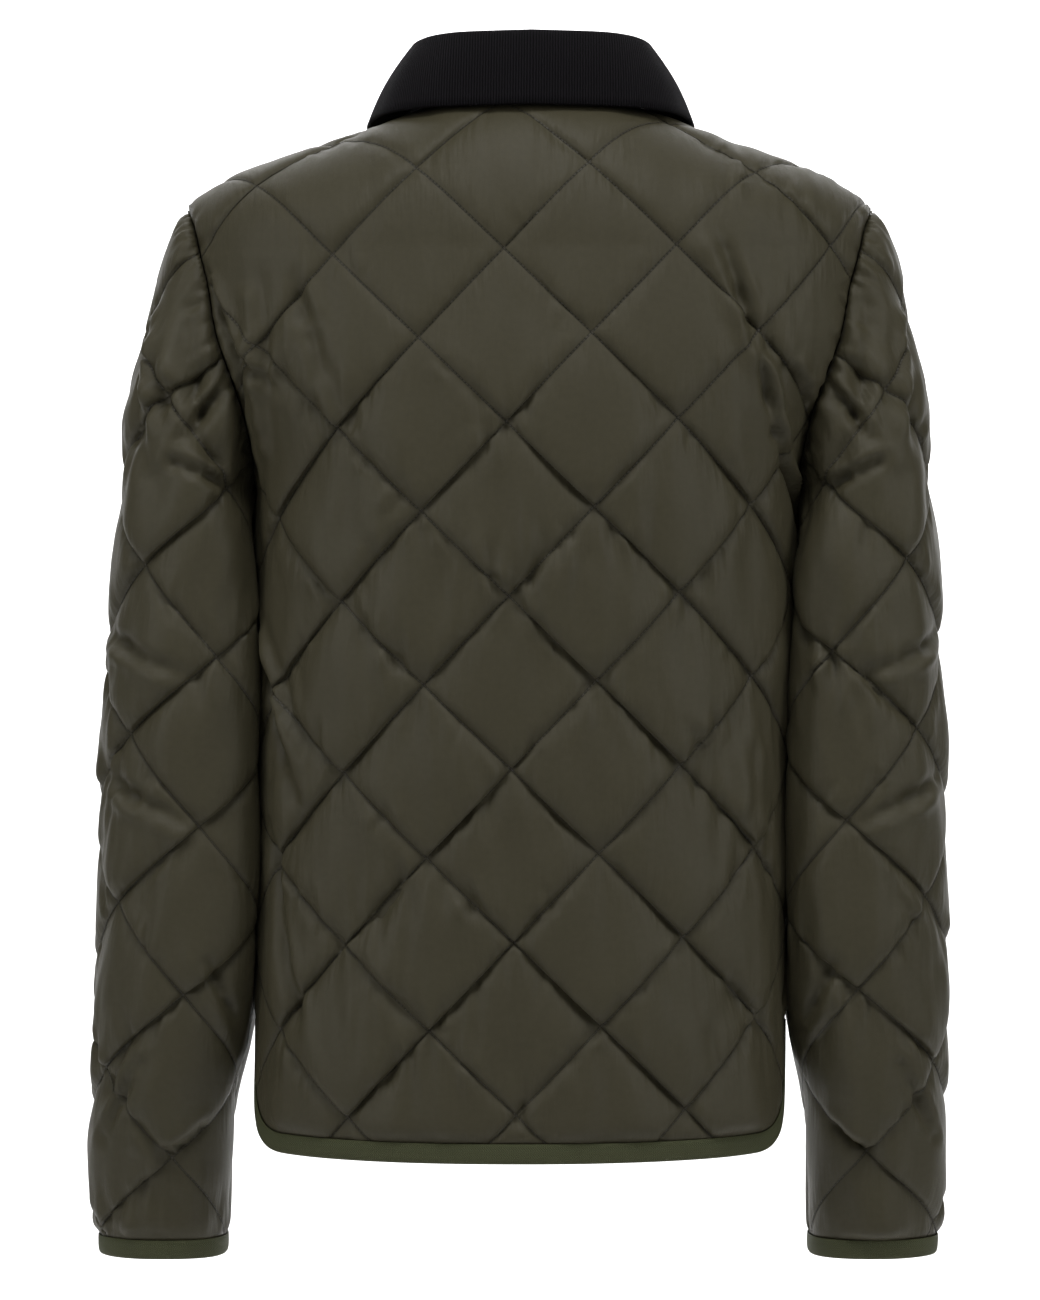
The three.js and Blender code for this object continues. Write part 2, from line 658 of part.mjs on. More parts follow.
function capEnds(triangles, count, base, reversed) {
  const a = base;
  const b = base + 1;
  const c = base + count - 2;
  const d = base + count - 1;
  if (reversed) triangles.push([a, c, b], [a, d, c]);
  else triangles.push([a, b, c], [a, c, d]);
}

// Flat outlines
function steps(from, to, size) {
  const count = Math.max(1, Math.round(Math.abs(to - from) / size));
  return Array.from({ length: count + 1 }, (_, i) => from + ((to - from) * i) / count);
}

const NECK_STEPS = 8;
function neckFlat(side, turn) {
  const angle = (turn * Math.PI) / 180;
  const x = X_NECK * Math.sin(angle);
  if (side === 'back') return bodyFlatByDepth('back', x, Y_NECK_BACK * Math.cos(angle));
  const drop = (Z_NECK_SIDE - Z_NECK_FRONT) * Math.abs(Math.cos(angle));
  return bodyFlat('front', x, Z_NECK_SIDE - drop);
}

function neckline(side) {
  return Array.from({ length: NECK_STEPS + 1 }, (_, i) => {
    const turn = (90 * i) / NECK_STEPS;
    return neckFlat(side, side === 'back' ? turn : 180 - turn);
  });
}

function shoulderLine(side) {
  return steps(X_NECK, X_SHOULDER_POINT, SEAM_STEP).slice(1, -1).map((x) => bodyFlatByDepth(side, x, 0));
}

function armholeLine(side) {
  return ARMHOLE_SAMPLES.map((z) => bodyFlat(side, armholeSeam(z), z));
}

function sideLine(side) {
  return steps(Z_ARMPIT, Z_VENT, SEAM_STEP).slice(1).map((z) => ({ s: bodyRing(side, z).total, t: z - Z_BLADE }));
}

// Edge of the vent and the hem on the wearer's left, from the vent's top to the middle of the hem
function hemEdge(side, hemZ, endS) {
  const sideS = (t) => bodyRing(side, Z_BLADE + t).total - VENT_GAP;
  const hemT = (s) => hemZ - Z_BLADE + (side === 'back' ? HEM_RISE * Math.min(Math.abs(s) / 260, 1) ** 2 : 0);
  const cornerT = hemT(250) + CORNER_UP;
  const edge = steps(Z_VENT - Z_BLADE - SEAM_GAP, cornerT, SEAM_STEP).map((t) => ({ s: sideS(t), t }));
  const centreS = sideS(cornerT) - CORNER_ACROSS;
  for (let k = 1; k <= 6; k += 1) {
    const turn = (k * Math.PI) / 12;
    edge.push({ s: centreS + CORNER_ACROSS * Math.cos(turn), t: cornerT - CORNER_UP * Math.sin(turn) });
  }
  steps(centreS, endS, SEAM_STEP).slice(1).forEach((s) => edge.push({ s, t: hemT(s) }));
  return edge;
}

// The tape's two sides in flat: its outer edge, and the line where the cloth goes in under it
function tapePath(edge) {
  return edge.map((p, i) => {
    const before = edge[Math.max(i - 1, 0)];
    const after = edge[Math.min(i + 1, edge.length - 1)];
    const along = new THREE.Vector2(after.s - before.s, after.t - before.t).normalize();
    return { outer: p, inner: { s: p.s + along.y * TAPE, t: p.t - along.x * TAPE } };
  });
}

const mirrored = (points) => points.map((p) => ({ s: -p.s, t: p.t })).reverse();

function backOutline(tape) {
  const half = [...neckline('back'), ...shoulderLine('back'), ...armholeLine('back'), ...sideLine('back')];
  const right = [...half, ...tape.map((row) => row.inner)];
  const left = mirrored(right).slice(1, -1);
  return [...right, ...left];
}

function frontOutline(tape) {
  const neck = neckline('front');
  const lapTurn = 180 - (Math.asin(LAP / X_NECK) * 180) / Math.PI;
  const lapNeck = neckFlat('front', lapTurn);
  const halfwayNeck = neckFlat('front', (180 + lapTurn) / 2);
  const hemT = Z_HEM_FRONT - Z_BLADE + TAPE;
  const lapEdge = steps(hemT, lapNeck.t, SEAM_STEP).slice(1, -1).map((t) => ({ s: -LAP, t }));
  return [
    { s: -LAP, t: hemT },
    ...lapEdge,
    { s: -LAP, t: lapNeck.t },
    { s: -halfwayNeck.s, t: halfwayNeck.t },
    ...neck,
    ...shoulderLine('front'),
    ...armholeLine('front'),
    ...sideLine('front'),
    ...tape.map((row) => row.inner).slice(0, -1),
  ];
}

function sleeveEdge(z) {
  const ring = sleeveRing(z);
  return { back: ring.back.total, front: ring.front.total, t: sleeveLength(z) };
}

function sleeveOutline() {
  const cuffTop = Z_CUFF + TAPE;
  const heights = [...ARMHOLE_SAMPLES.slice(1), ...steps(Z_ARMPIT, cuffTop, SEAM_STEP).slice(1)];
  const edges = heights.map(sleeveEdge);
  const last = edges[edges.length - 1];
  const cuff = steps(last.back, -last.front, SEAM_STEP).slice(1, -1).map((s) => ({ s, t: last.t }));
  return [
    { s: 0, t: sleeveLength(Z_SHOULDER_POINT) },
    ...edges.map((edge) => ({ s: edge.back, t: edge.t })),
    ...cuff,
    ...edges.map((edge) => ({ s: -edge.front, t: edge.t })).reverse(),
  ];
}

const counterClockwise = (points) => (turnedArea(points) > 0 ? points : [...points].reverse());
const cut = (points) => inset(counterClockwise(points), SEAM_GAP / 2);

// Section of a tape that wraps an edge: across runs from the cloth to the edge, lift is out from the cloth
const TAPE_SECTION = [
  { across: 0, lift: TAPE_LIFT },
  { across: 0.5, lift: TAPE_LIFT + 0.3 },
  { across: 0.95, lift: TAPE_LIFT - 0.4 },
  { across: 1, lift: -WALL / 2 },
  { across: 0.95, lift: -WALL - TAPE_LIFT + 0.4 },
  { across: 0.5, lift: -WALL - TAPE_LIFT - 0.1 },
  { across: 0, lift: -WALL - TAPE_LIFT + 0.1 },
  { across: 0, lift: -WALL / 2 },
];

function tapeGeometry(path, pointAt, facing) {
  const gap = SEAM_GAP / 2 / TAPE;
  return barSolid(path.map(({ inner, outer }) => TAPE_SECTION.map(({ across, lift }) => {
    const u = gap + across * (1 - gap);
    return lifted(pointAt, facing, inner.s + (outer.s - inner.s) * u, inner.t + (outer.t - inner.t) * u, lift);
  })));
}

// Where the puffs flatten out: at every seam, round the neck and near the armpit
function edgeFade(p, outline) {
  return smooth(0, SEAM_FADE, edgeDistance(p, outline));
}

function armpitFade(p, armpit) {
  return smooth(ARMPIT_FADE.from, ARMPIT_FADE.to, Math.hypot(Math.abs(p.s) - armpit.s, p.t - armpit.t));
}

// Body and sleeve touch beside the underarm seam and the side line, where little of the puff is left
function touchFade(fromSeam) {
  return TOUCH_PUFF + (1 - TOUCH_PUFF) * smooth(TOUCH_FADE.from, TOUCH_FADE.to, fromSeam);
}

function bodyFade(p, side, outline) {
  const reach = neckline(side).map((q) => Math.hypot(Math.abs(p.s) - q.s, p.t - q.t));
  const armpit = { s: bodyRing(side, Z_ARMPIT).total, t: Z_ARMPIT - Z_BLADE };
  const touch = p.t < armpit.t ? touchFade(bodyRing(side, Z_BLADE + p.t).total - Math.abs(p.s)) : 1;
  return Math.min(edgeFade(p, outline), smooth(0, NECK_FADE, Math.min(...reach)), armpitFade(p, armpit), touch);
}

function sleeveFade(p, outline) {
  const edge = sleeveEdge(sleeveHeight(Math.min(p.t, 0)));
  const touch = touchFade((p.s > 0 ? edge.back : edge.front) - Math.abs(p.s));
  return Math.min(edgeFade(p, outline), armpitFade(p, { s: sleeveEdge(Z_ARMPIT).back, t: 0 }), touch);
}

// Group and materials
const jacket = new THREE.Group();
jacket.name = 'quilted_jacket';

function add(name, geometry, look) {
  const mesh = new THREE.Mesh(geometry, new THREE.MeshStandardMaterial(look));
  mesh.name = name;
  jacket.add(mesh);
  return mesh;
}

const towardsRight = (pointAt) => (s, t) => {
  const p = pointAt(s, t);
  p.x = -p.x;
  return p;
};

// Back
const backPoint = (s, t) => bodyPoint('back', s, t);
const backTape = tapePath(hemEdge('back', Z_HEM_BACK, 0));
const backCut = cut(backOutline(backTape));
add('back', panelGeometry({
  outline: backCut,
  quilt: QUILT.back,
  pointAt: backPoint,
  facing: -1,
  heightAt: (p) => {
    const fade = bodyFade(p, 'back', backCut);
    const fold = foldHeight(FOLDS.back, p) * fade;
    return { outer: puffHeight(QUILT.back, p) * fade + fold, inner: fold - WALL };
  },
}), CLOTH);
const backTapeLeft = backTape.map(({ inner, outer }) => ({
  inner: { s: -inner.s, t: inner.t },
  outer: { s: -outer.s, t: outer.t },
})).reverse().slice(1);
add('binding_back', tapeGeometry([...backTape, ...backTapeLeft], backPoint, -1), TAPE_CLOTH);

// Fronts: the left one climbs over the right one at the centre
const frontTape = tapePath(hemEdge('front', Z_HEM_FRONT, -LAP));
frontTape[frontTape.length - 1].inner.s = -LAP;
const frontCut = cut(frontOutline(frontTape));
const lapLift = (s) => (WALL + LAP_GAP) * (1 - smooth(LAP_RAMP.from, LAP_RAMP.to, s));
function frontHeight(p, climbs) {
  const flatStrip = smooth(-LAP + PLACKET, -LAP + PLACKET + SEAM_FADE, p.s);
  const fade = Math.min(bodyFade(p, 'front', frontCut), flatStrip);
  const lift = climbs ? lapLift(p.s) : 0;
  const fold = foldHeight(FOLDS.front, p) * fade;
  return { outer: puffHeight(QUILT.front, p) * fade + fold + lift, inner: fold - WALL + lift };
}
const frontPoint = (s, t) => bodyPoint('front', s, t);
[
  { name: 'left', pointAt: frontPoint, facing: 1, climbs: true },
  { name: 'right', pointAt: towardsRight(frontPoint), facing: -1, climbs: false },
].forEach(({ name, pointAt, facing, climbs }) => {
  const heightAt = (p) => frontHeight(p, climbs);
  add(`front_${name}`, panelGeometry({ outline: frontCut, quilt: QUILT.front, pointAt, facing, heightAt }), CLOTH);
  const raised = (s, t) => lifted(pointAt, facing, s, t, climbs ? lapLift(s) : 0);
  add(`binding_front_${name}`, tapeGeometry(frontTape, raised, facing), TAPE_CLOTH);
});

// Sleeves
const sleeveCut = cut(sleeveOutline());
function cuffPath() {
  const bottom = sleeveEdge(Z_CUFF);
  const top = sleeveEdge(Z_CUFF + TAPE);
  const rows = steps(-1, 1, SEAM_STEP / bottom.back);
  const reach = (edge, u) => (u > 0 ? edge.back - SEAM_GAP / 2 : edge.front - SEAM_GAP / 2) * u;
  return rows.map((u) => ({ inner: { s: reach(top, u), t: top.t }, outer: { s: reach(bottom, u), t: bottom.t } }));
}
[
  { name: 'left', pointAt: sleevePoint, facing: 1 },
  { name: 'right', pointAt: towardsRight(sleevePoint), facing: -1 },
].forEach(({ name, pointAt, facing }) => {
  const quilt = QUILT[`sleeve_${name}`];
  const heightAt = (p) => {
    const fade = sleeveFade(p, sleeveCut);
    const fold = foldHeight(FOLDS.sleeve, p) * fade;
    return { outer: puffHeight(quilt, p) * fade + fold, inner: fold - WALL };
  };
  add(`sleeve_${name}`, panelGeometry({ outline: sleeveCut, quilt, pointAt, facing, heightAt }), CLOTH);
  add(`binding_cuff_${name}`, tapeGeometry(cuffPath(), pointAt, facing), TAPE_CLOTH);
});

// Collar: a stand that rises from the neckline and a fall folded over it, swept round the neck
const COLLAR_LEAF = 4; // points along the stand, and along the fall
const ROLL_RISE = 3; // how far the fold's roll stands over the straight leaves
const FALL_BELLY = 2.5; // the fall bulges out a little
const collarColumns = Object.fromEntries(
  ['foldX', 'foldY', 'foldZ', 'edgeX', 'edgeY', 'edgeZ'].map((name) => [name, column(COLLAR, 'turn', name)]),
);

function collarSeat(turn) {
  const side = turn <= 90 ? 'back' : 'front';
  const flat = neckFlat(side, turn);
  const up = COLLAR_SEAT;
  const tip = bodyPoint(side, flat.s, flat.t);
  const below = bodyPoint(side, flat.s, flat.t - 4);
  const rising = tip.clone().sub(below).normalize();
  rising.lerp(new THREE.Vector3(0, 0, 1), 0.5).normalize();
  return tip.addScaledVector(rising, up);
}

function collarLine(turn) {
  const away = Math.abs(turn);
  const seat = collarSeat(away);
  const fold = new THREE.Vector3(collarColumns.foldX(away), collarColumns.foldY(away), collarColumns.foldZ(away));
  const edge = new THREE.Vector3(collarColumns.edgeX(away), collarColumns.edgeY(away), collarColumns.edgeZ(away));
  const line = [];
  for (let k = 0; k < COLLAR_LEAF; k += 1) line.push(seat.clone().lerp(fold, k / COLLAR_LEAF));
  line.push(fold.clone());
  const outward = edge.clone().sub(seat);
  outward.z = 0;
  outward.normalize();
  const roll = fold.clone().addScaledVector(outward, 3.6);
  roll.z += 0.6;
  for (let k = 0; k <= COLLAR_LEAF; k += 1) {
    const u = k / COLLAR_LEAF;
    const p = roll.clone().lerp(edge, u);
    p.addScaledVector(outward, FALL_BELLY * Math.sin(Math.PI * u));
    p.z += ROLL_RISE * Math.sin(Math.PI * u) * 0.3;
    line.push(p);
  }
  if (turn < 0) line.forEach((p) => { p.x = -p.x; });
  return line;
}

function collarRing(turn) {
  const line = collarLine(turn);
  const sideStep = collarLine(turn + 1).map((p, i) => p.sub(collarLine(turn - 1)[i]));
  const offset = (k, distance) => {
    const tangent = line[Math.min(k + 1, line.length - 1)].clone().sub(line[Math.max(k - 1, 0)]);
    const normal = tangent.cross(sideStep[k]).normalize();
    return line[k].clone().addScaledVector(normal, distance);
  };
  const one = line.map((_, k) => offset(k, COLLAR_WALL / 2));
  const other = line.map((_, k) => offset(k, -COLLAR_WALL / 2)).reverse();
  return [...one, ...other];
}
const collarRings = [];
for (let k = -COLLAR_SECTIONS; k <= COLLAR_SECTIONS; k += 1) {
  collarRings.push(collarRing((COLLAR_FRONT_TURN * k) / COLLAR_SECTIONS));
}
add('collar', barSolid(collarRings), CORDUROY);

// Press-stud caps on the left front, on the centre line
function snapGeometry() {
  const profile = [
    new THREE.Vector2(0, 0),
    new THREE.Vector2(SNAP_RADIUS - 0.6, 0),
    new THREE.Vector2(SNAP_RADIUS, 0.7),
    new THREE.Vector2(SNAP_RADIUS - 0.4, 1.5),
    new THREE.Vector2(SNAP_RADIUS - 1.6, 2.0),
    new THREE.Vector2(SNAP_RADIUS - 3.2, 1.7),
    new THREE.Vector2(2.4, SNAP_HEIGHT - 0.3),
    new THREE.Vector2(0, SNAP_HEIGHT),
  ];
  return new THREE.LatheGeometry(profile, SNAP_SIDES);
}
const leftFacing = (s, t, lift) => lifted(frontPoint, 1, s, t, lift);
SNAP_HEIGHTS.forEach((z, index) => {
  const t = z - Z_BLADE;
  const seat = leftFacing(0, t, WALL + LAP_GAP + SEAM_GAP);
  const outward = leftFacing(0, t, WALL + LAP_GAP + SEAM_GAP + 1).sub(seat);
  const snap = add(`snap_${index + 1}`, snapGeometry(), STUD_METAL);
  snap.position.set(seat.x - LEAN * seat.z, seat.y, seat.z);
  snap.quaternion.setFromUnitVectors(new THREE.Vector3(0, 1, 0), outward.normalize());
});

export default jacket;
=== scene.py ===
# Looks of the quilted jacket: quilted panels, stitching, corduroy collar, bound edges and snaps.
# Lengths are in millimetres here and become metres when a mesh is made.
import json
import math
import bpy
import numpy as np
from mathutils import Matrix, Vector

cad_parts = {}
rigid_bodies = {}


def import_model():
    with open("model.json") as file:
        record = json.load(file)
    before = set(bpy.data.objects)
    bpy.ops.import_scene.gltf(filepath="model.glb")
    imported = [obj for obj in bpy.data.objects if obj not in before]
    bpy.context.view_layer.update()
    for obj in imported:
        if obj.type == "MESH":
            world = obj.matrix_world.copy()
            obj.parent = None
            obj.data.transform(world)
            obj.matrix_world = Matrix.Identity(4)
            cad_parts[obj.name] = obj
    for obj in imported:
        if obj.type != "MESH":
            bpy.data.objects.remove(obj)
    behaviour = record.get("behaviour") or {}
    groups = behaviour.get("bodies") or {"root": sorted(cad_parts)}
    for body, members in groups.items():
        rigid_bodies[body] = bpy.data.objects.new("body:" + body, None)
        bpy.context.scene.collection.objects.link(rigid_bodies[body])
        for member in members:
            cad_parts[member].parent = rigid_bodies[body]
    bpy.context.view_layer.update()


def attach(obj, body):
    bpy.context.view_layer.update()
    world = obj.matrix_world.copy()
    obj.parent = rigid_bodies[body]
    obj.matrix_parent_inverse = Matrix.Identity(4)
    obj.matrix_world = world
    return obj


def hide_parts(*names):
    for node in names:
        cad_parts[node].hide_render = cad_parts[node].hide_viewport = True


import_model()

MM = 0.001

# Cloth and quilting
WALL = 2.4
PUFF = 7.4
DIAMOND = 107
CELLS = 20
CELL = DIAMOND / 2 / CELLS
TURN = 2 * CELLS
SEAM_GAP = -0.3
NECK_FADE = 45
ARMPIT_FADE = (18, 80)
TOUCH_FADE = (34, 74)
TOUCH_PUFF = 0.25
LEAN = 0.0115
EASE = (0.02, 0.045)
PUCKER_REACH = 9
PUCKERS_A_SIDE = 2.6
OVERHANG = 3.2
OVERHANG_REACH = 0.055
FILL_PULL = 0.035
SETTLE_STEPS = 90
CRUMPLE = (1.25, 0.95)
SHALLOW = 0.42
HEAD_TUCK = 1.7
SIDE_BULGE = 1.5
ARMPIT_BULGE = 2.4
SINK = 0.9
DEEP_SINK = 1.7
LINKS = [(1, 0, 0.5, 1), (0, 1, 0.5, 1), (1, 1, 0.35, 1), (1, -1, 0.35, 1),
         (2, 0, 0.16, 0.5), (0, 2, 0.16, 0.5), (2, 2, 0.08, 0.35), (2, -2, 0.08, 0.35)]

# Heights and widths of the cut
Z_BLADE = -100
Z_ARMPIT = -250
Z_SHOULDER_POINT = -68.5
Z_VENT = -585
Z_HEM_BACK = -667
Z_HEM_FRONT = -657
Z_CUFF = -738
HEM_RISE = 5
BODY_POWER = 2.3
BACK_POWER = 2.5
FRONT_POWER = 1.9
BLADE_HALF_WIDTH = 220
X_NECK = 78
Y_NECK_BACK = 72.5
Z_NECK_SIDE = -8
Z_NECK_FRONT = -80
X_SHOULDER_POINT = 218
LAP = 20
LAP_GAP = 2.5
LAP_RAMP = (30, 46)
PLACKET = 56
TAPE = 12.5
TAPE_LIFT = 0.9
VENT_GAP = 1
CORNER_ACROSS = 62
CORNER_UP = 50
TOUCH_GAP = 2.6
TOUCH_ROUND = 6
TOUCH_DEPTH = (249, 274)
SLEEVE_POWER = 2.6
UPPER_PUFF = (0.42, 10, 150)
SEAM_STEP = 4

COLLAR_WALL = 2.2
COLLAR_SEAT = 1.6
COLLAR_FRONT_TURN = 168
WALE = 1.75

BODY_COLUMNS = ("z", "back", "front", "half")
BODY = [
    (-700, 105, 104, 168.5),
    (-640, 105, 104, 168.5),
    (-550, 106, 105, 168.5),
    (-450, 109, 109, 168.5),
    (-350, 114, 114, 171),
    (-300, 118, 117, 172),
    (-250, 122, 120, 172.3),
    (-180, 124, 121, 172.3),
    (-130, 121, 119, 172.3),
    (-100, 118, 118, 172.3),
]
SHOULDER_COLUMNS = ("x", "z")
SHOULDER = [
    (0, 14), (40, 7), (78, -8), (104, -19.5), (126, -28), (149, -36), (171, -43),
    (191, -51), (205, -59), (213, -64.5), (218, -68.5), (225, -76),
]
ARMHOLE_COLUMNS = ("z", "seam", "outer", "angle", "depth")
ARMHOLE = [
    (-68.5, 218, 218.2, 90, 0),
    (-70.5, 216.8, 220.8, 92, 0),
    (-75, 214.5, 223.8, 95, 0),
    (-84, 211, 227.6, 95, 0),
    (-100, 207, 233.2, 95, 50),
    (-120, 201.5, 237.6, 95, 56),
    (-150, 196, 243.4, 97, 62),
    (-180, 185.5, 249.3, 115, 65),
    (-200, 179, 252.6, 130, 66),
    (-225, 174.3, 253.8, 152, 66.5),
    (-240, 172.8, 254.8, 168, 66.3),
    (-250, 172.3, 255.6, 180, 66),
]
SLEEVE_COLUMNS = ("z", "inner", "outer", "depth", "back")
SLEEVE = [
    (-250, 172.3, 255.6, 66, 0),
    (-275, 168.5, 258.6, 65, 0),
    (-300, 162, 260.6, 63.5, 0),
    (-350, 158, 263, 61, 0),
    (-400, 157, 265.6, 59, 0),
    (-500, 158, 268, 55.5, -2),
    (-560, 162, 269.4, 53, -5),
    (-600, 173, 270.4, 50.5, -9),
    (-640, 183, 271, 47.5, -15),
    (-700, 187, 271, 43.5, -26),
    (-738, 188, 269.8, 42, -32),
]
COLLAR_COLUMNS = ("turn", "foldX", "foldY", "foldZ", "edgeX", "edgeY", "edgeZ")
COLLAR = [
    (0, 0, 62, 37.5, 0, 95, -10),
    (35, 43, 51, 37.5, 60, 82, -10.5),
    (65, 67, 27, 36.5, 94, 45, -11.5),
    (90, 73.5, -6, 33, 104, -4, -15),
    (115, 63, -64, 0, 97, -68, -26),
    (140, 42, -90, -29, 76, -114, -56),
    (168, 9, -104, -45, 45, -130, -97),
]

# One crossing of each panel's quilting lines, in flat arc lengths, and the slant of its diamonds
QUILT = {
    "back": (16, -1.6, 0.026),
    "front": (0, -1.6, 0),
    "sleeve_left": (68, 61, 0.092),
    "sleeve_right": (68, 65, 0.092),
}

# Folds: a soft ridge or trough from one flat point to another
FOLD_WIDTH = 0.52
FOLD_RISE = 1.9
FOLD_COLUMNS = ("s1", "t1", "s2", "t2", "width", "rise")
FOLDS = {
    "back": [
        (-122, -2, -150, -64, 8, -3),
        (-110, 0, -166, -112, 14, 3.5),
        (-136, -46, -162, -112, 8, -4.5),
        (-162, -112, -208, -165, 8, -4),
        (-174, -74, -212, -106, 7, -3.5),
        (-172, -128, -222, -170, 7, -3),
        (-246, -300, -206, -395, 10, -4.5),
        (-236, -380, -200, -470, 9, -3.5),
        (-232, -300, -198, -380, 9, 2.5),
        (218, -16, 194, -64, 9, -4.5),
        (194, -60, 198, -142, 8, -4.5),
        (180, -30, 178, -120, 12, 3.5),
        (196, -60, 170, -82, 7, -3),
        (150, -20, 128, -76, 12, -2.5),
        (198, -236, 148, -338, 10, -3.5),
        (184, -240, 142, -320, 10, 2.5),
        (176, -358, 144, -482, 10, -3.5),
        (246, -310, 212, -430, 11, -4.5),
    ],
    "front": [
        (186, -10, 168, -96, 9, -4),
        (166, -6, 150, -104, 13, 3.5),
        (168, -96, 206, -168, 8, -4),
        (206, -60, 188, -110, 7, -3),
        (246, -304, 204, -420, 11, -4.5),
        (228, -300, 190, -392, 10, 2.5),
        (190, -400, 152, -500, 10, -3.5),
    ],
    "sleeve": [
        (104, 70, 84, 34, 8, -5),
        (112, 4, 80, 18, 8, -4),
        (66, 118, 100, 20, 12, -3.5),
        (40, 110, 70, 20, 13, 3),
        (60, -362, 32, -410, 8, -3),
        (100, -294, 118, -330, 8, -3),
        (96, -402, 70, -420, 8, -3),
        (30, -180, 84, -205, 10, -3),
        (24, -88, 82, -112, 10, -3),
        (-104, 66, -86, 30, 9, -5),
        (-110, 0, -74, 14, 9, -4),
        (-60, 110, -92, 10, 12, 3),
        (-25, -250, -96, -215, 11, -4.5),
        (-20, -285, -92, -298, 11, 3.5),
        (-30, -160, -88, -176, 10, -3),
        (-24, -380, -88, -356, 9, -3),
    ],
}


def column(rows, names, key, name):
    """A smooth curve through one column of a table, which never overshoots its rows."""
    rows = sorted(rows, key=lambda row: row[names.index(key)])
    at = np.array([row[names.index(key)] for row in rows], float)
    value = np.array([row[names.index(name)] for row in rows], float)
    rise = np.diff(value) / np.diff(at)
    slope = np.empty(len(at))
    slope[0], slope[-1] = rise[0], rise[-1]
    for i in range(1, len(at) - 1):
        steady = rise[i - 1] * rise[i] > 0
        slope[i] = 2 / (1 / rise[i - 1] + 1 / rise[i]) if steady else 0.0

    def curve(x):
        x = np.clip(x, at[0], at[-1])
        i = np.clip(np.searchsorted(at, x) - 1, 0, len(rise) - 1)
        step = at[i + 1] - at[i]
        u = (x - at[i]) / step
        bend = u * u * (3 - 2 * u)
        start = value[i] + (value[i + 1] - value[i]) * bend
        return start + step * (slope[i] * u * (1 - u) ** 2 - slope[i + 1] * u * u * (1 - u))

    return curve


def smooth(start, end, x):
    u = np.clip((x - start) / (end - start), 0, 1)
    return u * u * (3 - 2 * u)


body_depth = {side: column(BODY, BODY_COLUMNS, "z", side) for side in ("back", "front")}
body_half = column(BODY, BODY_COLUMNS, "z", "half")
shoulder_height = column(SHOULDER, SHOULDER_COLUMNS, "x", "z")
armhole = {name: column(ARMHOLE, ARMHOLE_COLUMNS, "z", name) for name in ARMHOLE_COLUMNS[1:]}
sleeve_row = {name: column(SLEEVE, SLEEVE_COLUMNS, "z", name) for name in SLEEVE_COLUMNS[1:]}
collar_row = {name: column(COLLAR, COLLAR_COLUMNS, "turn", name) for name in COLLAR_COLUMNS[1:]}

ARC_STEPS = 240


class Arc:
    """A quarter or half curve with its running length."""

    def __init__(self, x, y):
        self.x, self.y = x, y
        self.length = np.concatenate([[0], np.cumsum(np.hypot(np.diff(x), np.diff(y)))])
        self.total = self.length[-1]

    def by_length(self, s):
        return np.interp(s, self.length, self.x), np.interp(s, self.length, self.y)

    def length_at_x(self, x):
        return float(np.interp(x, self.x, self.length))

    def length_at_y(self, y):
        return float(np.interp(-y, -self.y, self.length))


def quarter(half_x, half_y, power):
    angle = np.linspace(0, math.pi / 2, ARC_STEPS + 1)
    bent = 2 / power
    return Arc(half_x * np.sin(angle) ** bent, half_y * np.maximum(np.cos(angle), 0) ** bent)


def body_width(z, depth):
    if z <= Z_ARMPIT:
        return float(body_half(z))
    if z >= Z_BLADE:
        return BLADE_HALF_WIDTH
    seam_y = armhole["depth"](z) * math.sin(math.radians(armhole["angle"](z)))
    return float(armhole["seam"](z) / (1 - (seam_y / depth) ** BODY_POWER) ** (1 / BODY_POWER))


rings = {}


def body_ring(side, z):
    key = (side, round(float(z), 3))
    if key not in rings:
        depth = float(body_depth[side](z))
        rings[key] = quarter(body_width(z, depth), depth, BODY_POWER)
    return rings[key]


def shoulder_section(side, x, depth):
    power = BACK_POWER if side == "back" else FRONT_POWER
    return quarter(float(shoulder_height(x)) - Z_BLADE, depth, power)


def body_point(side, s, t):
    towards = 1 if side == "back" else -1
    x, y = body_ring(side, Z_BLADE + min(t, 0)).by_length(abs(s))
    if t <= 0:
        return np.array([math.copysign(x, s), towards * y, Z_BLADE + t])
    up, y = shoulder_section(side, x, y).by_length(t)
    return np.array([math.copysign(x, s), towards * y, Z_BLADE + up])


def body_flat(side, x, z):
    if z <= Z_BLADE:
        return body_ring(side, z).length_at_x(x), z - Z_BLADE
    ring = body_ring(side, Z_BLADE)
    s = ring.length_at_x(x)
    return s, shoulder_section(side, x, ring.by_length(s)[1]).length_at_x(z - Z_BLADE)


def body_flat_by_depth(side, x, y):
    ring = body_ring(side, Z_BLADE)
    s = ring.length_at_x(x)
    return s, shoulder_section(side, x, ring.by_length(s)[1]).length_at_y(y)


def body_side(y, z):
    depth = np.where(y > 0, body_depth["back"](z), body_depth["front"](z))
    return body_half(z) * np.maximum(1 - (np.abs(y) / depth) ** BODY_POWER, 0) ** (1 / BODY_POWER)


def sleeve_arc(middle, half, depth, shift, end, z):
    angle = np.linspace(0, end, 2 * ARC_STEPS + 1)
    power = 2 + (SLEEVE_POWER - 2) * smooth(TOUCH_DEPTH[0], TOUCH_DEPTH[1], -z)
    bent = np.where(angle > math.pi / 2, 2 / power, 1)
    y = shift + depth * np.maximum(np.sin(angle), 0) ** bent
    x = middle + half * np.sign(np.cos(angle)) * np.abs(np.cos(angle)) ** bent
    if z <= Z_ARMPIT:
        opening = smooth(TOUCH_DEPTH[0], TOUCH_DEPTH[1], -z)
        least = body_side(y, z) + TOUCH_GAP * opening
        away = x - least
        x = least + (away + np.hypot(away, TOUCH_ROUND * opening)) / 2
    return Arc(x, y)


sleeve_rings = {}


def sleeve_ring(z):
    key = round(float(z), 3)
    if key not in sleeve_rings:
        sleeve_rings[key] = make_sleeve_ring(float(z))
    return sleeve_rings[key]


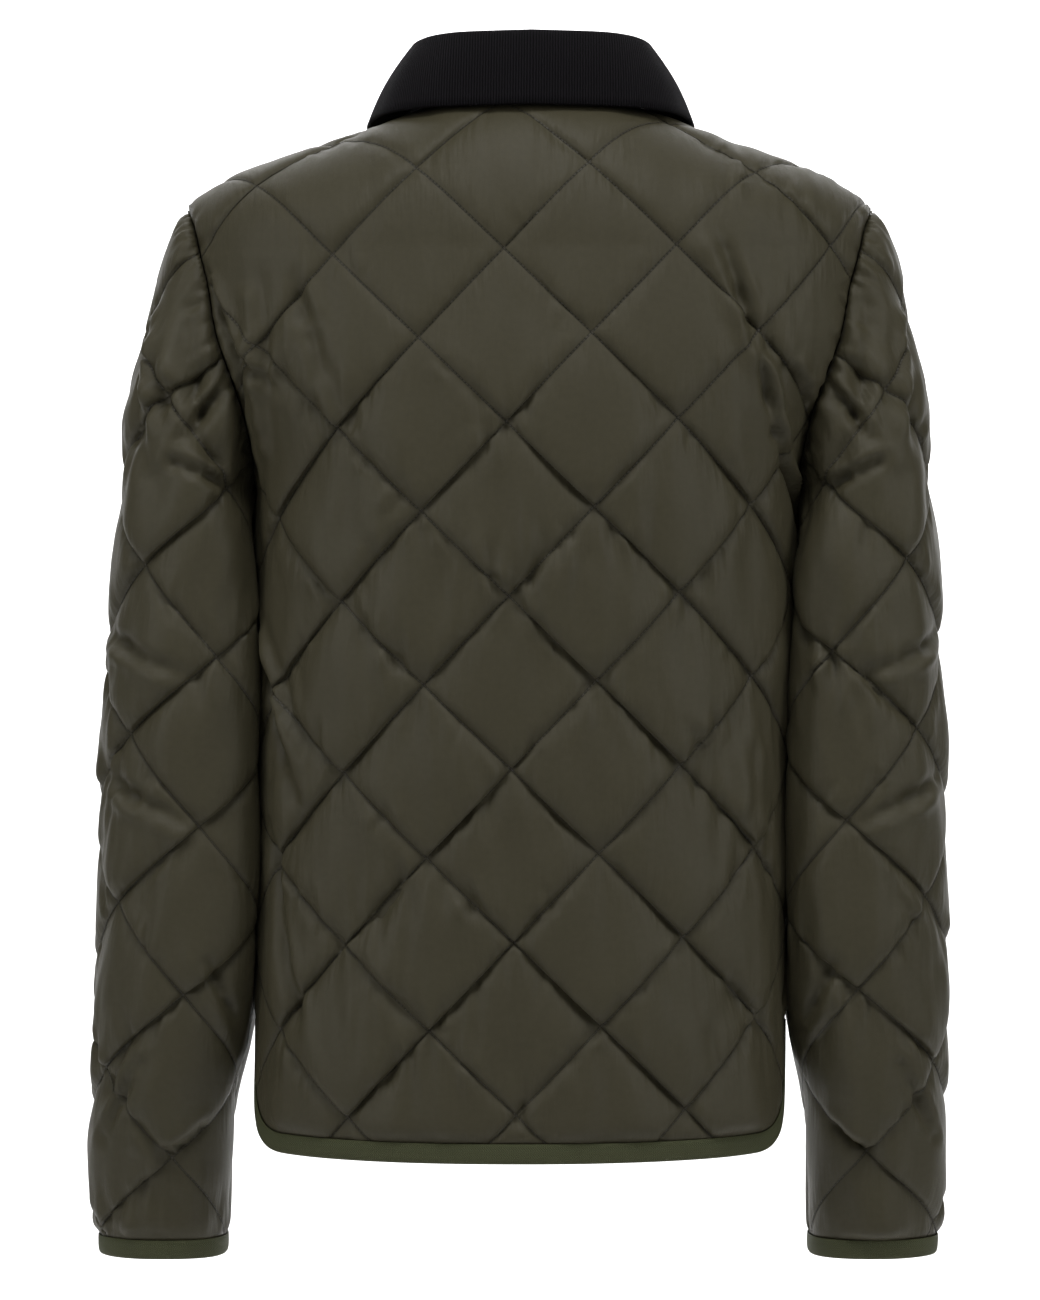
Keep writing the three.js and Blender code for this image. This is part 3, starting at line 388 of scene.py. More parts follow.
def make_sleeve_ring(z):
    if z <= Z_ARMPIT:
        outer, inner = float(sleeve_row["outer"](z)), float(sleeve_row["inner"](z))
        depth, shift = float(sleeve_row["depth"](z)), float(sleeve_row["back"](z))
        middle, half, end = (outer + inner) / 2, (outer - inner) / 2, math.pi
        depths = [depth, depth]
    else:
        end = math.radians(float(armhole["angle"](z)))
        seam, outer = float(armhole["seam"](z)), float(armhole["outer"](z))
        middle = (seam - outer * math.cos(end)) / (1 - math.cos(end))
        half, shift = outer - middle, 0.0
        depths = []
        for side in ("back", "front"):
            if z < Z_BLADE:
                depths.append(float(armhole["depth"](z)))
            else:
                s, t = body_flat(side, seam, z)
                depths.append(abs(body_point(side, s, t)[1]) / math.sin(end))
    back = sleeve_arc(middle, half, depths[0], shift, end, z)
    front = sleeve_arc(middle, half, -depths[1], shift, end, z)
    return back, front


SLEEVE_Z = np.arange(Z_CUFF - 4, Z_SHOULDER_POINT + 0.25, 0.5)
_outer = np.where(SLEEVE_Z <= Z_ARMPIT, sleeve_row["outer"](SLEEVE_Z), armhole["outer"](SLEEVE_Z))
_back = np.where(SLEEVE_Z <= Z_ARMPIT, sleeve_row["back"](SLEEVE_Z), 0)
_run = np.sqrt(0.25 + np.diff(_outer) ** 2 + np.diff(_back) ** 2)
SLEEVE_T = np.concatenate([[0], np.cumsum(_run)])
SLEEVE_T -= np.interp(Z_ARMPIT, SLEEVE_Z, SLEEVE_T)


def sleeve_height(t):
    return float(np.interp(t, SLEEVE_T, SLEEVE_Z))


def sleeve_length(z):
    return float(np.interp(z, SLEEVE_Z, SLEEVE_T))


class Surface:
    """A plain cloth surface as a table of points over its flat arc lengths."""

    STEP = 2.0

    def __init__(self, s_range, t_range, row):
        self.s0, self.t0 = s_range[0], t_range[0]
        self.s = np.arange(s_range[0], s_range[1] + self.STEP, self.STEP)
        self.t = np.arange(t_range[0], t_range[1] + self.STEP, self.STEP)
        self.points = np.stack([row(self.s, t) for t in self.t], axis=1)
        across = np.gradient(self.points, self.STEP, axis=0)
        along = np.gradient(self.points, self.STEP, axis=1)
        normal = np.cross(across, along)
        size = np.linalg.norm(normal, axis=2, keepdims=True)
        self.normals = normal / np.maximum(size, 1e-9)

    def look_up(self, table, s, t):
        u = np.clip((s - self.s0) / self.STEP, 0, len(self.s) - 1.001)
        v = np.clip((t - self.t0) / self.STEP, 0, len(self.t) - 1.001)
        i, j = u.astype(int), v.astype(int)
        fu, fv = (u - i)[..., None], (v - j)[..., None]
        low_row = table[i, j] * (1 - fu) + table[i + 1, j] * fu
        high_row = table[i, j + 1] * (1 - fu) + table[i + 1, j + 1] * fu
        return low_row * (1 - fv) + high_row * fv

    def place(self, s, t, lift):
        s, t, lift = np.asarray(s, float), np.asarray(t, float), np.asarray(lift, float)
        normal = self.look_up(self.normals, s, t)
        normal /= np.maximum(np.linalg.norm(normal, axis=-1, keepdims=True), 1e-9)
        return self.look_up(self.points, s, t) + normal * self.facing * lift[..., None]


class Body(Surface):
    def __init__(self, side):
        self.side = side
        self.facing = -1 if side == "back" else 1
        self.blade = body_ring(side, Z_BLADE)
        super().__init__((-330, 330), (-610, 170), self.row)

    def row(self, s, t):
        towards = 1 if self.side == "back" else -1
        ring = body_ring(self.side, Z_BLADE + min(t, 0))
        x, y = ring.by_length(np.abs(s))
        past = np.maximum(np.abs(s) - ring.total, 0)
        z = np.full(len(s), Z_BLADE + t)
        if t > 0:
            for k in range(len(s)):
                up, y[k] = self.section(x[k], y[k]).by_length(t)
                z[k] = Z_BLADE + up
        return np.stack([np.sign(s) * x, towards * (y - past), z], axis=1)

    sections = {}

    def section(self, x, y):
        key = (self.side, round(float(x), 4))
        if key not in self.sections:
            self.sections[key] = shoulder_section(self.side, float(x), float(y))
        return self.sections[key]


class Sleeve(Surface):
    facing = 1

    def __init__(self):
        super().__init__((-190, 190), (-510, 190), self.row)

    def row(self, s, t):
        z = sleeve_height(min(t, SLEEVE_T[-1]))
        back, front = sleeve_ring(z)
        xb, yb = back.by_length(np.maximum(s, 0))
        xf, yf = front.by_length(np.maximum(-s, 0))
        behind = s >= 0
        past = np.where(behind, np.maximum(s - back.total, 0), np.minimum(s + front.total, 0))
        x = np.where(behind, xb, xf) - HEAD_TUCK * smooth(-84, -71, z)
        y = np.where(behind, yb, yf) - past
        return np.stack([x, y, np.full(len(s), z + 0.6 * max(t - SLEEVE_T[-1], 0))], axis=1)


surfaces = {"back": Body("back"), "front": Body("front"), "sleeve": Sleeve()}


# Outlines in flat arc lengths
def steps(start, end, size):
    return np.linspace(start, end, max(1, round(abs(end - start) / size)) + 1)


def neck_flat(side, turn):
    angle = math.radians(turn)
    x = X_NECK * math.sin(angle)
    if side == "back":
        return body_flat_by_depth("back", x, Y_NECK_BACK * math.cos(angle))
    drop = (Z_NECK_SIDE - Z_NECK_FRONT) * abs(math.cos(angle))
    return body_flat("front", x, Z_NECK_SIDE - drop)


def neckline(side):
    turns = np.linspace(0, 90, 31) if side == "back" else 180 - np.linspace(0, 90, 31)
    return [neck_flat(side, turn) for turn in turns]


def shoulder_line(side):
    return [body_flat_by_depth(side, x, 0) for x in steps(X_NECK, X_SHOULDER_POINT, SEAM_STEP)[1:-1]]


def armhole_line(side):
    upper = [-68.5, -70.5, -72.5, -75, -79, -84, -90, -97]
    heights = upper + list(steps(-101, Z_ARMPIT, SEAM_STEP))
    return [body_flat(side, float(armhole["seam"](z)), z) for z in heights]


def side_line(side):
    return [(body_ring(side, z).total, z - Z_BLADE) for z in steps(Z_ARMPIT, Z_VENT, SEAM_STEP)[1:]]


def hem_edge(side, hem_z, end_s):
    def side_s(t):
        return body_ring(side, Z_BLADE + t).total - VENT_GAP

    def hem_t(s):
        rise = HEM_RISE * min(abs(s) / 260, 1) ** 2 if side == "back" else 0
        return hem_z - Z_BLADE + rise

    corner_t = hem_t(250) + CORNER_UP
    edge = [(side_s(t), t) for t in steps(Z_VENT - Z_BLADE - SEAM_GAP, corner_t, SEAM_STEP)]
    centre_s = side_s(corner_t) - CORNER_ACROSS
    up = corner_t - hem_t(centre_s)
    for k in range(1, 19):
        turn = k * math.pi / 36
        edge.append((centre_s + CORNER_ACROSS * math.cos(turn), corner_t - up * math.sin(turn)))
    edge += [(s, hem_t(s)) for s in steps(centre_s, end_s, SEAM_STEP)[1:]]
    return edge


def tape_path(edge):
    """Rows of the tape's inner and outer side, where the cloth goes in under it and where it turns over."""
    edge = np.array(edge)
    along = np.gradient(edge, axis=0)
    along /= np.linalg.norm(along, axis=1, keepdims=True)
    inner = edge + TAPE * np.stack([along[:, 1], -along[:, 0]], axis=1)
    return inner, edge


def turned_area(points):
    s, t = points[:, 0], points[:, 1]
    return float(np.sum(s * np.roll(t, -1) - np.roll(s, -1) * t) / 2)


def cut(points):
    points = np.array(points, float)
    if turned_area(points) < 0:
        points = points[::-1]
    before = points - np.roll(points, 1, axis=0)
    after = np.roll(points, -1, axis=0) - points
    before /= np.linalg.norm(before, axis=1, keepdims=True)
    after /= np.linalg.norm(after, axis=1, keepdims=True)
    side = np.stack([-before[:, 1], before[:, 0]], axis=1)
    normal = side + np.stack([-after[:, 1], after[:, 0]], axis=1)
    normal /= np.linalg.norm(normal, axis=1, keepdims=True)
    reach = SEAM_GAP / 2 / np.maximum(np.sum(normal * side, axis=1), 0.35)
    return points + normal * reach[:, None]


def back_outline(inner):
    half = neckline("back") + shoulder_line("back") + armhole_line("back") + side_line("back")
    right = half + [tuple(p) for p in inner]
    left = [(-s, t) for s, t in right][::-1][1:-1]
    return right + left


def front_outline(inner):
    lap_turn = 180 - math.degrees(math.asin(LAP / X_NECK))
    lap_neck = neck_flat("front", lap_turn)
    hem_t = Z_HEM_FRONT - Z_BLADE + TAPE
    edge = [(-LAP, t) for t in steps(hem_t, lap_neck[1], SEAM_STEP)]
    collar_side = [neck_flat("front", turn) for turn in np.linspace(lap_turn, 180, 6)[1:-1]]
    return (
        edge
        + [(-s, t) for s, t in collar_side]
        + neckline("front")
        + shoulder_line("front")
        + armhole_line("front")
        + side_line("front")
        + [tuple(p) for p in inner[:-1]]
    )


def sleeve_outline():
    upper = [-70.5, -72.5, -75, -79, -84, -90, -97]
    heights = upper + list(steps(-101, Z_ARMPIT, SEAM_STEP)) + list(steps(Z_ARMPIT, Z_CUFF + TAPE, SEAM_STEP)[1:])
    behind, before = [], []
    for z in heights:
        back, front = sleeve_ring(z)
        behind.append((back.total, sleeve_length(z)))
        before.append((-front.total, sleeve_length(z)))
    cuff = [(s, behind[-1][1]) for s in steps(behind[-1][0], before[-1][0], SEAM_STEP)[1:-1]]
    return [(0, sleeve_length(Z_SHOULDER_POINT))] + behind + cuff + before[::-1]


# Helpers on outlines
def edge_distance(points, outline):
    """Distance of each point from an outline, and the nearest place on it."""
    best = np.full(len(points), 1e9)
    nearest = np.zeros_like(points)
    for a, b in zip(outline, np.roll(outline, -1, axis=0)):
        step = b - a
        u = np.clip((points - a) @ step / max(step @ step, 1e-12), 0, 1)
        place = a + u[:, None] * step
        away = np.hypot(*(points - place).T)
        closer = away < best
        best[closer] = away[closer]
        nearest[closer] = place[closer]
    return best, nearest


def inside_of(points, outline):
    inside = np.zeros(len(points), bool)
    s, t = points[:, 0], points[:, 1]
    for a, b in zip(outline, np.roll(outline, -1, axis=0)):
        crosses = (a[1] > t) != (b[1] > t)
        if b[1] != a[1]:
            inside ^= crosses & (s < a[0] + (b[0] - a[0]) * (t - a[1]) / (b[1] - a[1]))
    return inside


def fold_lift(rows, s, t):
    total = np.zeros_like(s)
    for s1, t1, s2, t2, width, rise in rows:
        step = np.array([s2 - s1, t2 - t1], float)
        size = math.hypot(*step)
        u = np.clip(((s - s1) * step[0] + (t - t1) * step[1]) / size ** 2, 0, 1)
        away = np.hypot(s - s1 - u * step[0], t - t1 - u * step[1])
        side = ((s - s1) * step[1] - (t - t1) * step[0]) / size
        fade = np.sin(math.pi * np.clip(u, 0.08, 0.92)) ** 0.5
        wander = 1 + 0.25 * np.sin(u * 9 + s1) + 0.15 * np.sin(u * 23 + t1)
        width, rise = FOLD_WIDTH * width, FOLD_RISE * rise
        lip = 0.45 * np.exp(-(((side - 1.7 * width) / width) ** 2)) * np.exp(-((away / (3 * width)) ** 4))
        total += rise * fade * wander * (np.exp(-((away / width) ** 2)) - lip)
    return total


def pucker_lift(rows, s, t):
    """Short gathers, each a small trough beside a small ridge that run out from where they are sewn down."""
    total = np.zeros_like(s)
    for s0, t0, angle, size, width, depth in rows:
        near = np.hypot(s - s0, t - t0) < size + 3 * width
        ds, dt = s[near] - s0, t[near] - t0
        u = (ds * math.cos(angle) + dt * math.sin(angle)) / size
        v = (dt * math.cos(angle) - ds * math.sin(angle)) / width
        along = smooth(-0.12, 0.1, u) * (1 - smooth(0.3, 1, u))
        total[near] += depth * along * (0.7 * np.exp(-((v - 1.7) ** 2)) - np.exp(-(v ** 2)))
    return total


def grain(rng, shape, spread):
    """Smooth random field with about unit size, whose bumps are as wide as spread cells along each axis."""
    field = rng.normal(size=shape)
    for axis, size in enumerate(spread):
        if size <= 0:
            continue
        reach = int(3 * size) + 1
        kernel = np.exp(-0.5 * (np.arange(-reach, reach + 1) / size) ** 2)
        kernel /= kernel.sum()
        field = np.apply_along_axis(lambda row: np.convolve(row, kernel, mode="same"), axis, field)
    return field / max(field.std(), 1e-9)


class Panel:
    """A quilted panel on a lattice whose diagonals are the quilting lines."""

    def __init__(self, name, outline, quilt, surface, fades, folds, seed, sign=1, extra=None):
        self.name, self.outline, self.surface = name, outline, surface
        self.across, self.along, slant = quilt
        self.turn = math.atan(slant)
        self.sign = sign
        self.turned = turned_area(outline) > 0
        self.rng = np.random.default_rng(seed)
        self.lattice()
        self.trim()
        self.heights(fades, folds, extra)

    def flat(self, i, j):
        cos, sin = math.cos(self.turn), math.sin(self.turn)
        return (
            self.across + CELL * (i * cos + j * sin),
            self.along + CELL * (j * cos - i * sin),
        )

    def lattice(self):
        cos, sin = math.cos(self.turn), math.sin(self.turn)
        ds, dt = self.outline[:, 0] - self.across, self.outline[:, 1] - self.along
        i, j = (ds * cos - dt * sin) / CELL, (ds * sin + dt * cos) / CELL
        self.i0, self.j0 = int(i.min()) - 3, int(j.min()) - 3
        self.shape = (int(i.max()) + 4 - self.i0, int(j.max()) + 4 - self.j0)
        self.i, self.j = np.meshgrid(
            np.arange(self.shape[0]) + self.i0, np.arange(self.shape[1]) + self.j0, indexing="ij"
        )
        self.s, self.t = self.flat(self.i, self.j)
        points = np.stack([self.s.ravel(), self.t.ravel()], axis=1)
        away, nearest = edge_distance(points, self.outline)
        inside = inside_of(points, self.outline)
        self.edge = np.where(inside, away, -away).reshape(self.shape)
        self.nearest = nearest.reshape(self.shape + (2,))

    def trim(self):
        """Triangles of the lattice, with the nodes by the outline moved onto it."""
        keep = self.edge > -0.5 * CELL
        number = np.arange(keep.size).reshape(self.shape)
        a, b = number[:-1, :-1], number[1:, :-1]
        c, d = number[1:, 1:], number[:-1, 1:]
        ka, kb, kc, kd = keep[:-1, :-1], keep[1:, :-1], keep[1:, 1:], keep[:-1, 1:]
        i, j = self.i[:-1, :-1], self.j[:-1, :-1]
        rising = (np.floor_divide(i, CELLS) + np.floor_divide(j, CELLS)) % 2 == 0
        whole = ka & kb & kc & kd
        parts = [
            (whole & rising, (a, b, c)), (whole & rising, (a, c, d)),
            (whole & ~rising, (a, b, d)), (whole & ~rising, (b, c, d)),
            (ka & kb & kc & ~kd, (a, b, c)), (ka & kb & ~kc & kd, (a, b, d)),
            (ka & ~kb & kc & kd, (a, c, d)), (~ka & kb & kc & kd, (b, c, d)),
        ]
        faces = np.concatenate([np.stack([corner[mask] for corner in corners], axis=1) for mask, corners in parts])
        snapped = np.abs(self.edge).ravel() < 0.5 * CELL
        s, t = self.s.ravel().copy(), self.t.ravel().copy()
        near = self.nearest.reshape(-1, 2)
        s[snapped], t[snapped] = near[snapped, 0], near[snapped, 1]
        for _ in range(2):
            flat = np.abs(self.area(faces, s, t)) < 0.06 * CELL * CELL
            faces = faces[~(flat & snapped[faces].all(axis=1))]
            rim = np.zeros(keep.size, bool)
            rim[self.rim_edges(faces).ravel()] = True
            loose = rim & ~snapped
            s[loose], t[loose] = near[loose, 0], near[loose, 1]
            snapped |= loose
        self.to_corners(s, t, np.flatnonzero(rim))
        faces = faces[self.area(faces, s, t) > 1e-3]
        self.rim = rim
        self.faces = faces
        self.s, self.t = s.reshape(self.shape), t.reshape(self.shape)
        self.used = np.zeros(keep.size, bool)
        self.used[faces.ravel()] = True

    @staticmethod
    def area(faces, s, t):
        a, b, c = faces.T
        return ((s[b] - s[a]) * (t[c] - t[a]) - (s[c] - s[a]) * (t[b] - t[a])) / 2

    @staticmethod
    def rim_edges(faces):
        edges = np.concatenate([faces[:, [0, 1]], faces[:, [1, 2]], faces[:, [2, 0]]])
        size = int(edges.max()) + 1
        forward = edges[:, 0] * size + edges[:, 1]
        backward = edges[:, 1] * size + edges[:, 0]
        return edges[~np.isin(forward, backward)]

    def to_corners(self, s, t, rim):
        """Sharp corners of the outline get the rim node nearest to them."""
        before = self.outline - np.roll(self.outline, 1, axis=0)
        after = np.roll(self.outline, -1, axis=0) - self.outline
        turn = np.abs(np.arctan2(
            before[:, 0] * after[:, 1] - before[:, 1] * after[:, 0], np.sum(before * after, axis=1)
        ))
        for s0, t0 in self.outline[turn > 0.45]:
            nearest = rim[np.argmin(np.hypot(s[rim] - s0, t[rim] - t0))]
            s[nearest], t[nearest] = s0, t0

    def line_distances(self):
        """For each line family: how far each node is above its line, as a share of a diamond's side."""
        first = np.mod(self.i + self.j, TURN) / TURN
        second = np.mod(self.j - self.i, TURN) / TURN
        return first, second

    def heights(self, fades, folds, extra):
        """Plain cloth, puffs over it and folds under both; lines that run down and outwards are the deep ones."""
        self.cloth = (self.s.copy(), self.t.copy())
        first, second = self.line_distances()
        outward = smooth(-14, 14, self.s * self.sign)
        ia, ib = np.floor_divide(self.i + self.j, TURN), np.floor_divide(self.j - self.i, TURN)
        pick = np.mod(ia * 37 + ib * 101, 997)
        odds = self.rng.uniform(-1, 1, size=(4, 997))

        def rise(x, deep):
            lower, upper = 0.05, 0.07 + 0.16 * deep
            peak = 1 - 0.5 * (np.exp(-0.5 / lower) + np.exp(-0.5 / upper))
            level = SHALLOW * (1 - deep)
            return level + (1 - level) * (1 - np.exp(-x / lower)) * (1 - np.exp(-(1 - x) / upper)) / peak

        shape = rise(first, outward) * rise(second, 1 - outward)
        other = outward * second + (1 - outward) * first
        shape = shape * (1 + 0.3 * (0.5 - other))
        sway = 1 + 0.14 * odds[0][pick] + 0.3 * odds[1][pick] * (first - 0.5) + 0.3 * odds[2][pick] * (second - 0.5)
        self.fade = fades(self.s, self.t)
        seam = 1 - np.exp(-((np.maximum(self.edge, 0) / 5.5) ** 1.4))
        target = PUFF * shape * sway * self.fade * seam
        from_first = np.minimum(first, 1 - first) * TURN
        from_second = np.minimum(second, 1 - second) * TURN
        on_line = np.minimum(from_first, from_second) < 0.5
        deep = np.where(from_first < from_second, outward, 1 - outward)
        uneven = 1 + 0.35 * grain(self.rng, self.shape, (7, 7))
        pin = target - np.minimum(SINK + (DEEP_SINK - SINK) * deep * uneven, 2.2) * self.fade
        near_line = np.exp(-np.minimum(from_first, from_second) * CELL / math.sqrt(2) / PUCKER_REACH)
        height = self.settle(target, on_line | (self.edge < 0.5 * CELL), pin, near_line)
        inside = smooth(0, 6, self.edge)
        height = height + self.crumple(near_line) * inside * ~on_line
        height = height + pucker_lift(self.puckers(fades), *self.cloth) * inside * ~on_line
        height = height + pucker_lift(self.seam_puckers(), *self.cloth) * smooth(-1, 3, self.edge)
        for share, deep_here, side in ((first, outward, 1), (second, 1 - outward, -1)):
            slip = OVERHANG * deep_here * np.clip(uneven * (1.4 - other), 0.3, 1.6) * self.fade * inside * ~on_line
            slip = slip * (share / OVERHANG_REACH) * np.exp(1 - share / OVERHANG_REACH)
            slip = np.minimum(slip, 0.8 * share * DIAMOND / math.sqrt(2))
            angle = math.pi / 4 * side - self.turn
            self.s = self.s - slip * math.sin(angle)
            self.t = self.t - slip * math.cos(angle)
        self.base = fold_lift(folds, *self.cloth) * smooth(0, 10, self.edge)
        if extra is not None:
            self.base = self.base + extra(*self.cloth)
        self.outer = height + self.base
        self.inner = self.base - WALL

    def crumple(self, near_line):
        """Fine upright wrinkles, in patches and mostly beside the quilting lines, and broader ones under them."""
        fine = grain(self.rng, self.shape, (0.9, 3.2)) * np.clip(0.3 + 0.6 * grain(self.rng, self.shape, (9, 9)), 0, 1.4)
        broad = grain(self.rng, self.shape, (2.4, 8.0))
        more = 1.7 if self.surface is surfaces["sleeve"] else 1
        share = np.clip(self.fade, 0.35, 1)
        return more * share * (CRUMPLE[0] * fine * (0.35 + near_line) + CRUMPLE[1] * broad * (1 - near_line))

    def puckers(self, fades):
        """Gathers along the quilting lines: they hang straight down or stand straight up from the stitches."""
        rows = []
        for sense in (1, -1):
            for k in range(-16, 17):
                for m in range(-14, 15):
                    for _ in range(self.rng.poisson(PUCKERS_A_SIDE)):
                        place = self.rng.uniform(0.06, 0.94)
                        i = (m + place) * CELLS
                        j = sense * (k * TURN - i)
                        up = self.rng.random() < 0.6
                        angle = (math.pi / 2 if up else -math.pi / 2) + self.rng.normal(0, 0.3)
                        size = self.rng.uniform(10, 30)
                        width = self.rng.uniform(2.3, 4.2)
                        depth = self.rng.uniform(0.6, 2.4)
                        s0, t0 = self.flat(i, j)
                        rows.append((s0, t0, angle, size, width, depth))
        rows = np.array(rows)
        u, v = self.lattice_of(rows[:, 0], rows[:, 1])
        ok = (u > 0) & (v > 0) & (u < self.shape[0] - 1) & (v < self.shape[1] - 1)
        rows, u, v = rows[ok], u[ok].astype(int), v[ok].astype(int)
        inside = self.edge[u, v] > 4
        rows[:, 5] *= np.clip(fades(rows[:, 0], rows[:, 1]), 0.3, 1)
        return rows[inside]

    def seam_puckers(self):
        """Gathers along the armhole seam."""
        rows = []
        corners = np.concatenate([self.outline, self.outline[:1]])
        due = 4.0
        for start, end in zip(corners[:-1], corners[1:]):
            size = math.hypot(*(end - start))
            while due < size:
                s0, t0 = start + (end - start) * due / size
                due += self.rng.uniform(6, 15)
                if not self.by_armhole(s0, t0):
                    continue
                inward = math.atan2(end[0] - start[0], -(end[1] - start[1])) + (0 if self.turned else math.pi)
                angle = inward + self.rng.normal(0, 0.35)
                rows.append((s0, t0, angle, self.rng.uniform(9, 26), self.rng.uniform(2.2, 3.6),
                             self.rng.uniform(0.6, 1.9)))
            due -= size
        return rows

    def by_armhole(self, s, t):
        if self.surface is surfaces["sleeve"]:
            return t > 2
        return abs(s) > 175 and Z_ARMPIT - Z_BLADE < t < 62 - 0.2 * abs(abs(s) - 220)

    def lattice_of(self, s, t):
        cos, sin = math.cos(self.turn), math.sin(self.turn)
        ds, dt = s - self.across, t - self.along
        return (ds * cos - dt * sin) / CELL - self.i0, (ds * sin + dt * cos) / CELL - self.j0

    def settle(self, target, pinned, pin, near_line):
        """Cloth cut a little fuller than its quilting lines puckers between them as it takes its shape."""
        active = self.edge > -0.5 * CELL
        still = pinned | ~active
        height = np.where(still, np.where(self.edge < 0.5 * CELL, -0.35, pin), target)
        noise = 0.35 * grain(self.rng, self.shape, (1.5, 1.5)) + 0.5 * grain(self.rng, self.shape, (3.5, 3.5))
        place = np.stack([self.s, self.t, np.where(still, height, height + noise * self.fade)], axis=2)
        start = place.copy()
        ease = 1 + self.fade * (EASE[0] + EASE[1] * near_line) * (1 + 0.5 * grain(self.rng, self.shape, (8, 8)))
        links = []
        for di, dj, stiff, share in LINKS:
            here = (slice(0, self.shape[0] - di), slice(max(0, -dj), self.shape[1] - max(0, dj)))
            there = (slice(di, self.shape[0]), slice(max(0, dj), self.shape[1] + min(0, dj)))
            inside = (self.edge > 0.5 * CELL)
            ok = (active[here] & active[there] & inside[here] & inside[there]) * stiff
            rest = CELL * math.hypot(di, dj) * (1 + share * (ease[here] - 1))
            links.append((here, there, ok, rest))
        weight = np.zeros(self.shape)
        for here, there, ok, rest in links:
            weight[here] += ok
            weight[there] += ok
        moving = (1.15 * ~still / np.maximum(weight, 0.5))[..., None]
        for turn in range(SETTLE_STEPS):
            push = np.zeros_like(place)
            for here, there, ok, rest in links:
                link = place[there] - place[here]
                size = np.sqrt(np.einsum("ijk,ijk->ij", link, link))
                move = link * (0.5 * ok * (size - rest) / np.maximum(size, 1e-6))[..., None]
                push[here] += move
                push[there] -= move
            place += push * moving
            lift = place[..., 2]
            lift += np.where(still, 0, FILL_PULL * (target - lift))
            np.maximum(lift, -0.9, out=lift)
        calm = place.copy()
        calm[1:-1, 1:-1] = 0.6 * place[1:-1, 1:-1] + 0.1 * (
            place[2:, 1:-1] + place[:-2, 1:-1] + place[1:-1, 2:] + place[1:-1, :-2])
        place = np.where(still[..., None], place, calm)
        self.s = self.s + np.clip(place[..., 0] - start[..., 0], -1.4, 1.4) * ~still
        self.t = self.t + np.clip(place[..., 1] - start[..., 1], -1.4, 1.4) * ~still
        return place[..., 2]

    def build(self, mirrored=False):
        index = np.full(self.used.size, -1)
        index[self.used] = np.arange(self.used.sum())
        s, t = self.s.ravel()[self.used], self.t.ravel()[self.used]
        outer = self.surface.place(s, t, self.outer.ravel()[self.used])
        inner = self.surface.place(s, t, self.inner.ravel()[self.used])
        points = np.concatenate([outer, inner])
        if mirrored:
            points[:, 0] = -points[:, 0]
        faces = index[self.faces]
        count = len(s)
        rim = index[self.rim_edges(self.faces)]
        walls = np.concatenate([
            np.stack([rim[:, 1], rim[:, 0], rim[:, 0] + count], axis=1),
            np.stack([rim[:, 1], rim[:, 0] + count, rim[:, 1] + count], axis=1),
        ])
        triangles = np.concatenate([faces, faces[:, ::-1] + count, walls])
        cos, sin = math.cos(self.turn), math.sin(self.turn)
        ds = self.cloth[0].ravel()[self.used] - self.across
        dt = self.cloth[1].ravel()[self.used] - self.along
        uv = np.stack([ds * cos - dt * sin, ds * sin + dt * cos], axis=1) / DIAMOND
        uv = np.concatenate([uv, uv])
        obj = make_mesh(self.name, points, triangles, uv)
        return obj

    def height_at(self, i, j):
        """Outer height at lattice coordinates, between the nodes."""
        u = np.clip(i - self.i0, 0, self.shape[0] - 1.001)
        v = np.clip(j - self.j0, 0, self.shape[1] - 1.001)
        a, b = u.astype(int), v.astype(int)
        fu, fv = u - a, v - b
        z = self.outer
        return (z[a, b] * (1 - fu) * (1 - fv) + z[a + 1, b] * fu * (1 - fv)
                + z[a, b + 1] * (1 - fu) * fv + z[a + 1, b + 1] * fu * fv)


def make_mesh(name, points, triangles, uv=None, smooth_shade=True):
    """A mesh in metres, leaning as the jacket hangs, with its faces turned outwards."""
    points = points.copy()
    points[:, 0] -= LEAN * points[:, 2]
    a, b, c = (points[triangles[:, k]] for k in range(3))
    if np.einsum("ij,ij->i", a, np.cross(b, c)).sum() < 0:
        triangles = triangles[:, ::-1]
    mesh = bpy.data.meshes.new(name)
    mesh.vertices.add(len(points))
    mesh.vertices.foreach_set("co", (points * MM).astype(np.float32).ravel())
    mesh.loops.add(triangles.size)
    mesh.loops.foreach_set("vertex_index", triangles.astype(np.int32).ravel())
    mesh.polygons.add(len(triangles))
    mesh.polygons.foreach_set("loop_start", np.arange(0, triangles.size, 3, dtype=np.int32))
    if uv is not None:
        layer = mesh.uv_layers.new(name="cloth")
        layer.data.foreach_set("uv", uv[triangles.ravel()].astype(np.float32).ravel())
    mesh.update(calc_edges=True)
    mesh.polygons.foreach_set("use_smooth", np.full(len(triangles), smooth_shade))
    obj = bpy.data.objects.new(name, mesh)
    bpy.context.scene.collection.objects.link(obj)
    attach(obj, "root")
    return obj


# Where the puffs flatten out
def near_neck(side, s, t):
    least = np.full(s.shape, 1e9)
    for s0, t0 in neckline(side):
        least = np.minimum(least, np.hypot(np.abs(s) - s0, t - t0))
    return smooth(0, NECK_FADE, least)


side_heights = np.arange(-600, -98, 4.0)
side_totals = {
    side: np.array([body_ring(side, z).total for z in side_heights + 0.0]) for side in ("back", "front")
}
sleeve_heights = np.arange(Z_CUFF, Z_ARMPIT + 1, 4.0)
sleeve_totals = np.array([[sleeve_ring(z)[0].total, sleeve_ring(z)[1].total] for z in sleeve_heights])
sleeve_lengths = np.array([sleeve_length(z) for z in sleeve_heights])


def touching(away):
    return TOUCH_PUFF + (1 - TOUCH_PUFF) * smooth(TOUCH_FADE[0], TOUCH_FADE[1], away)


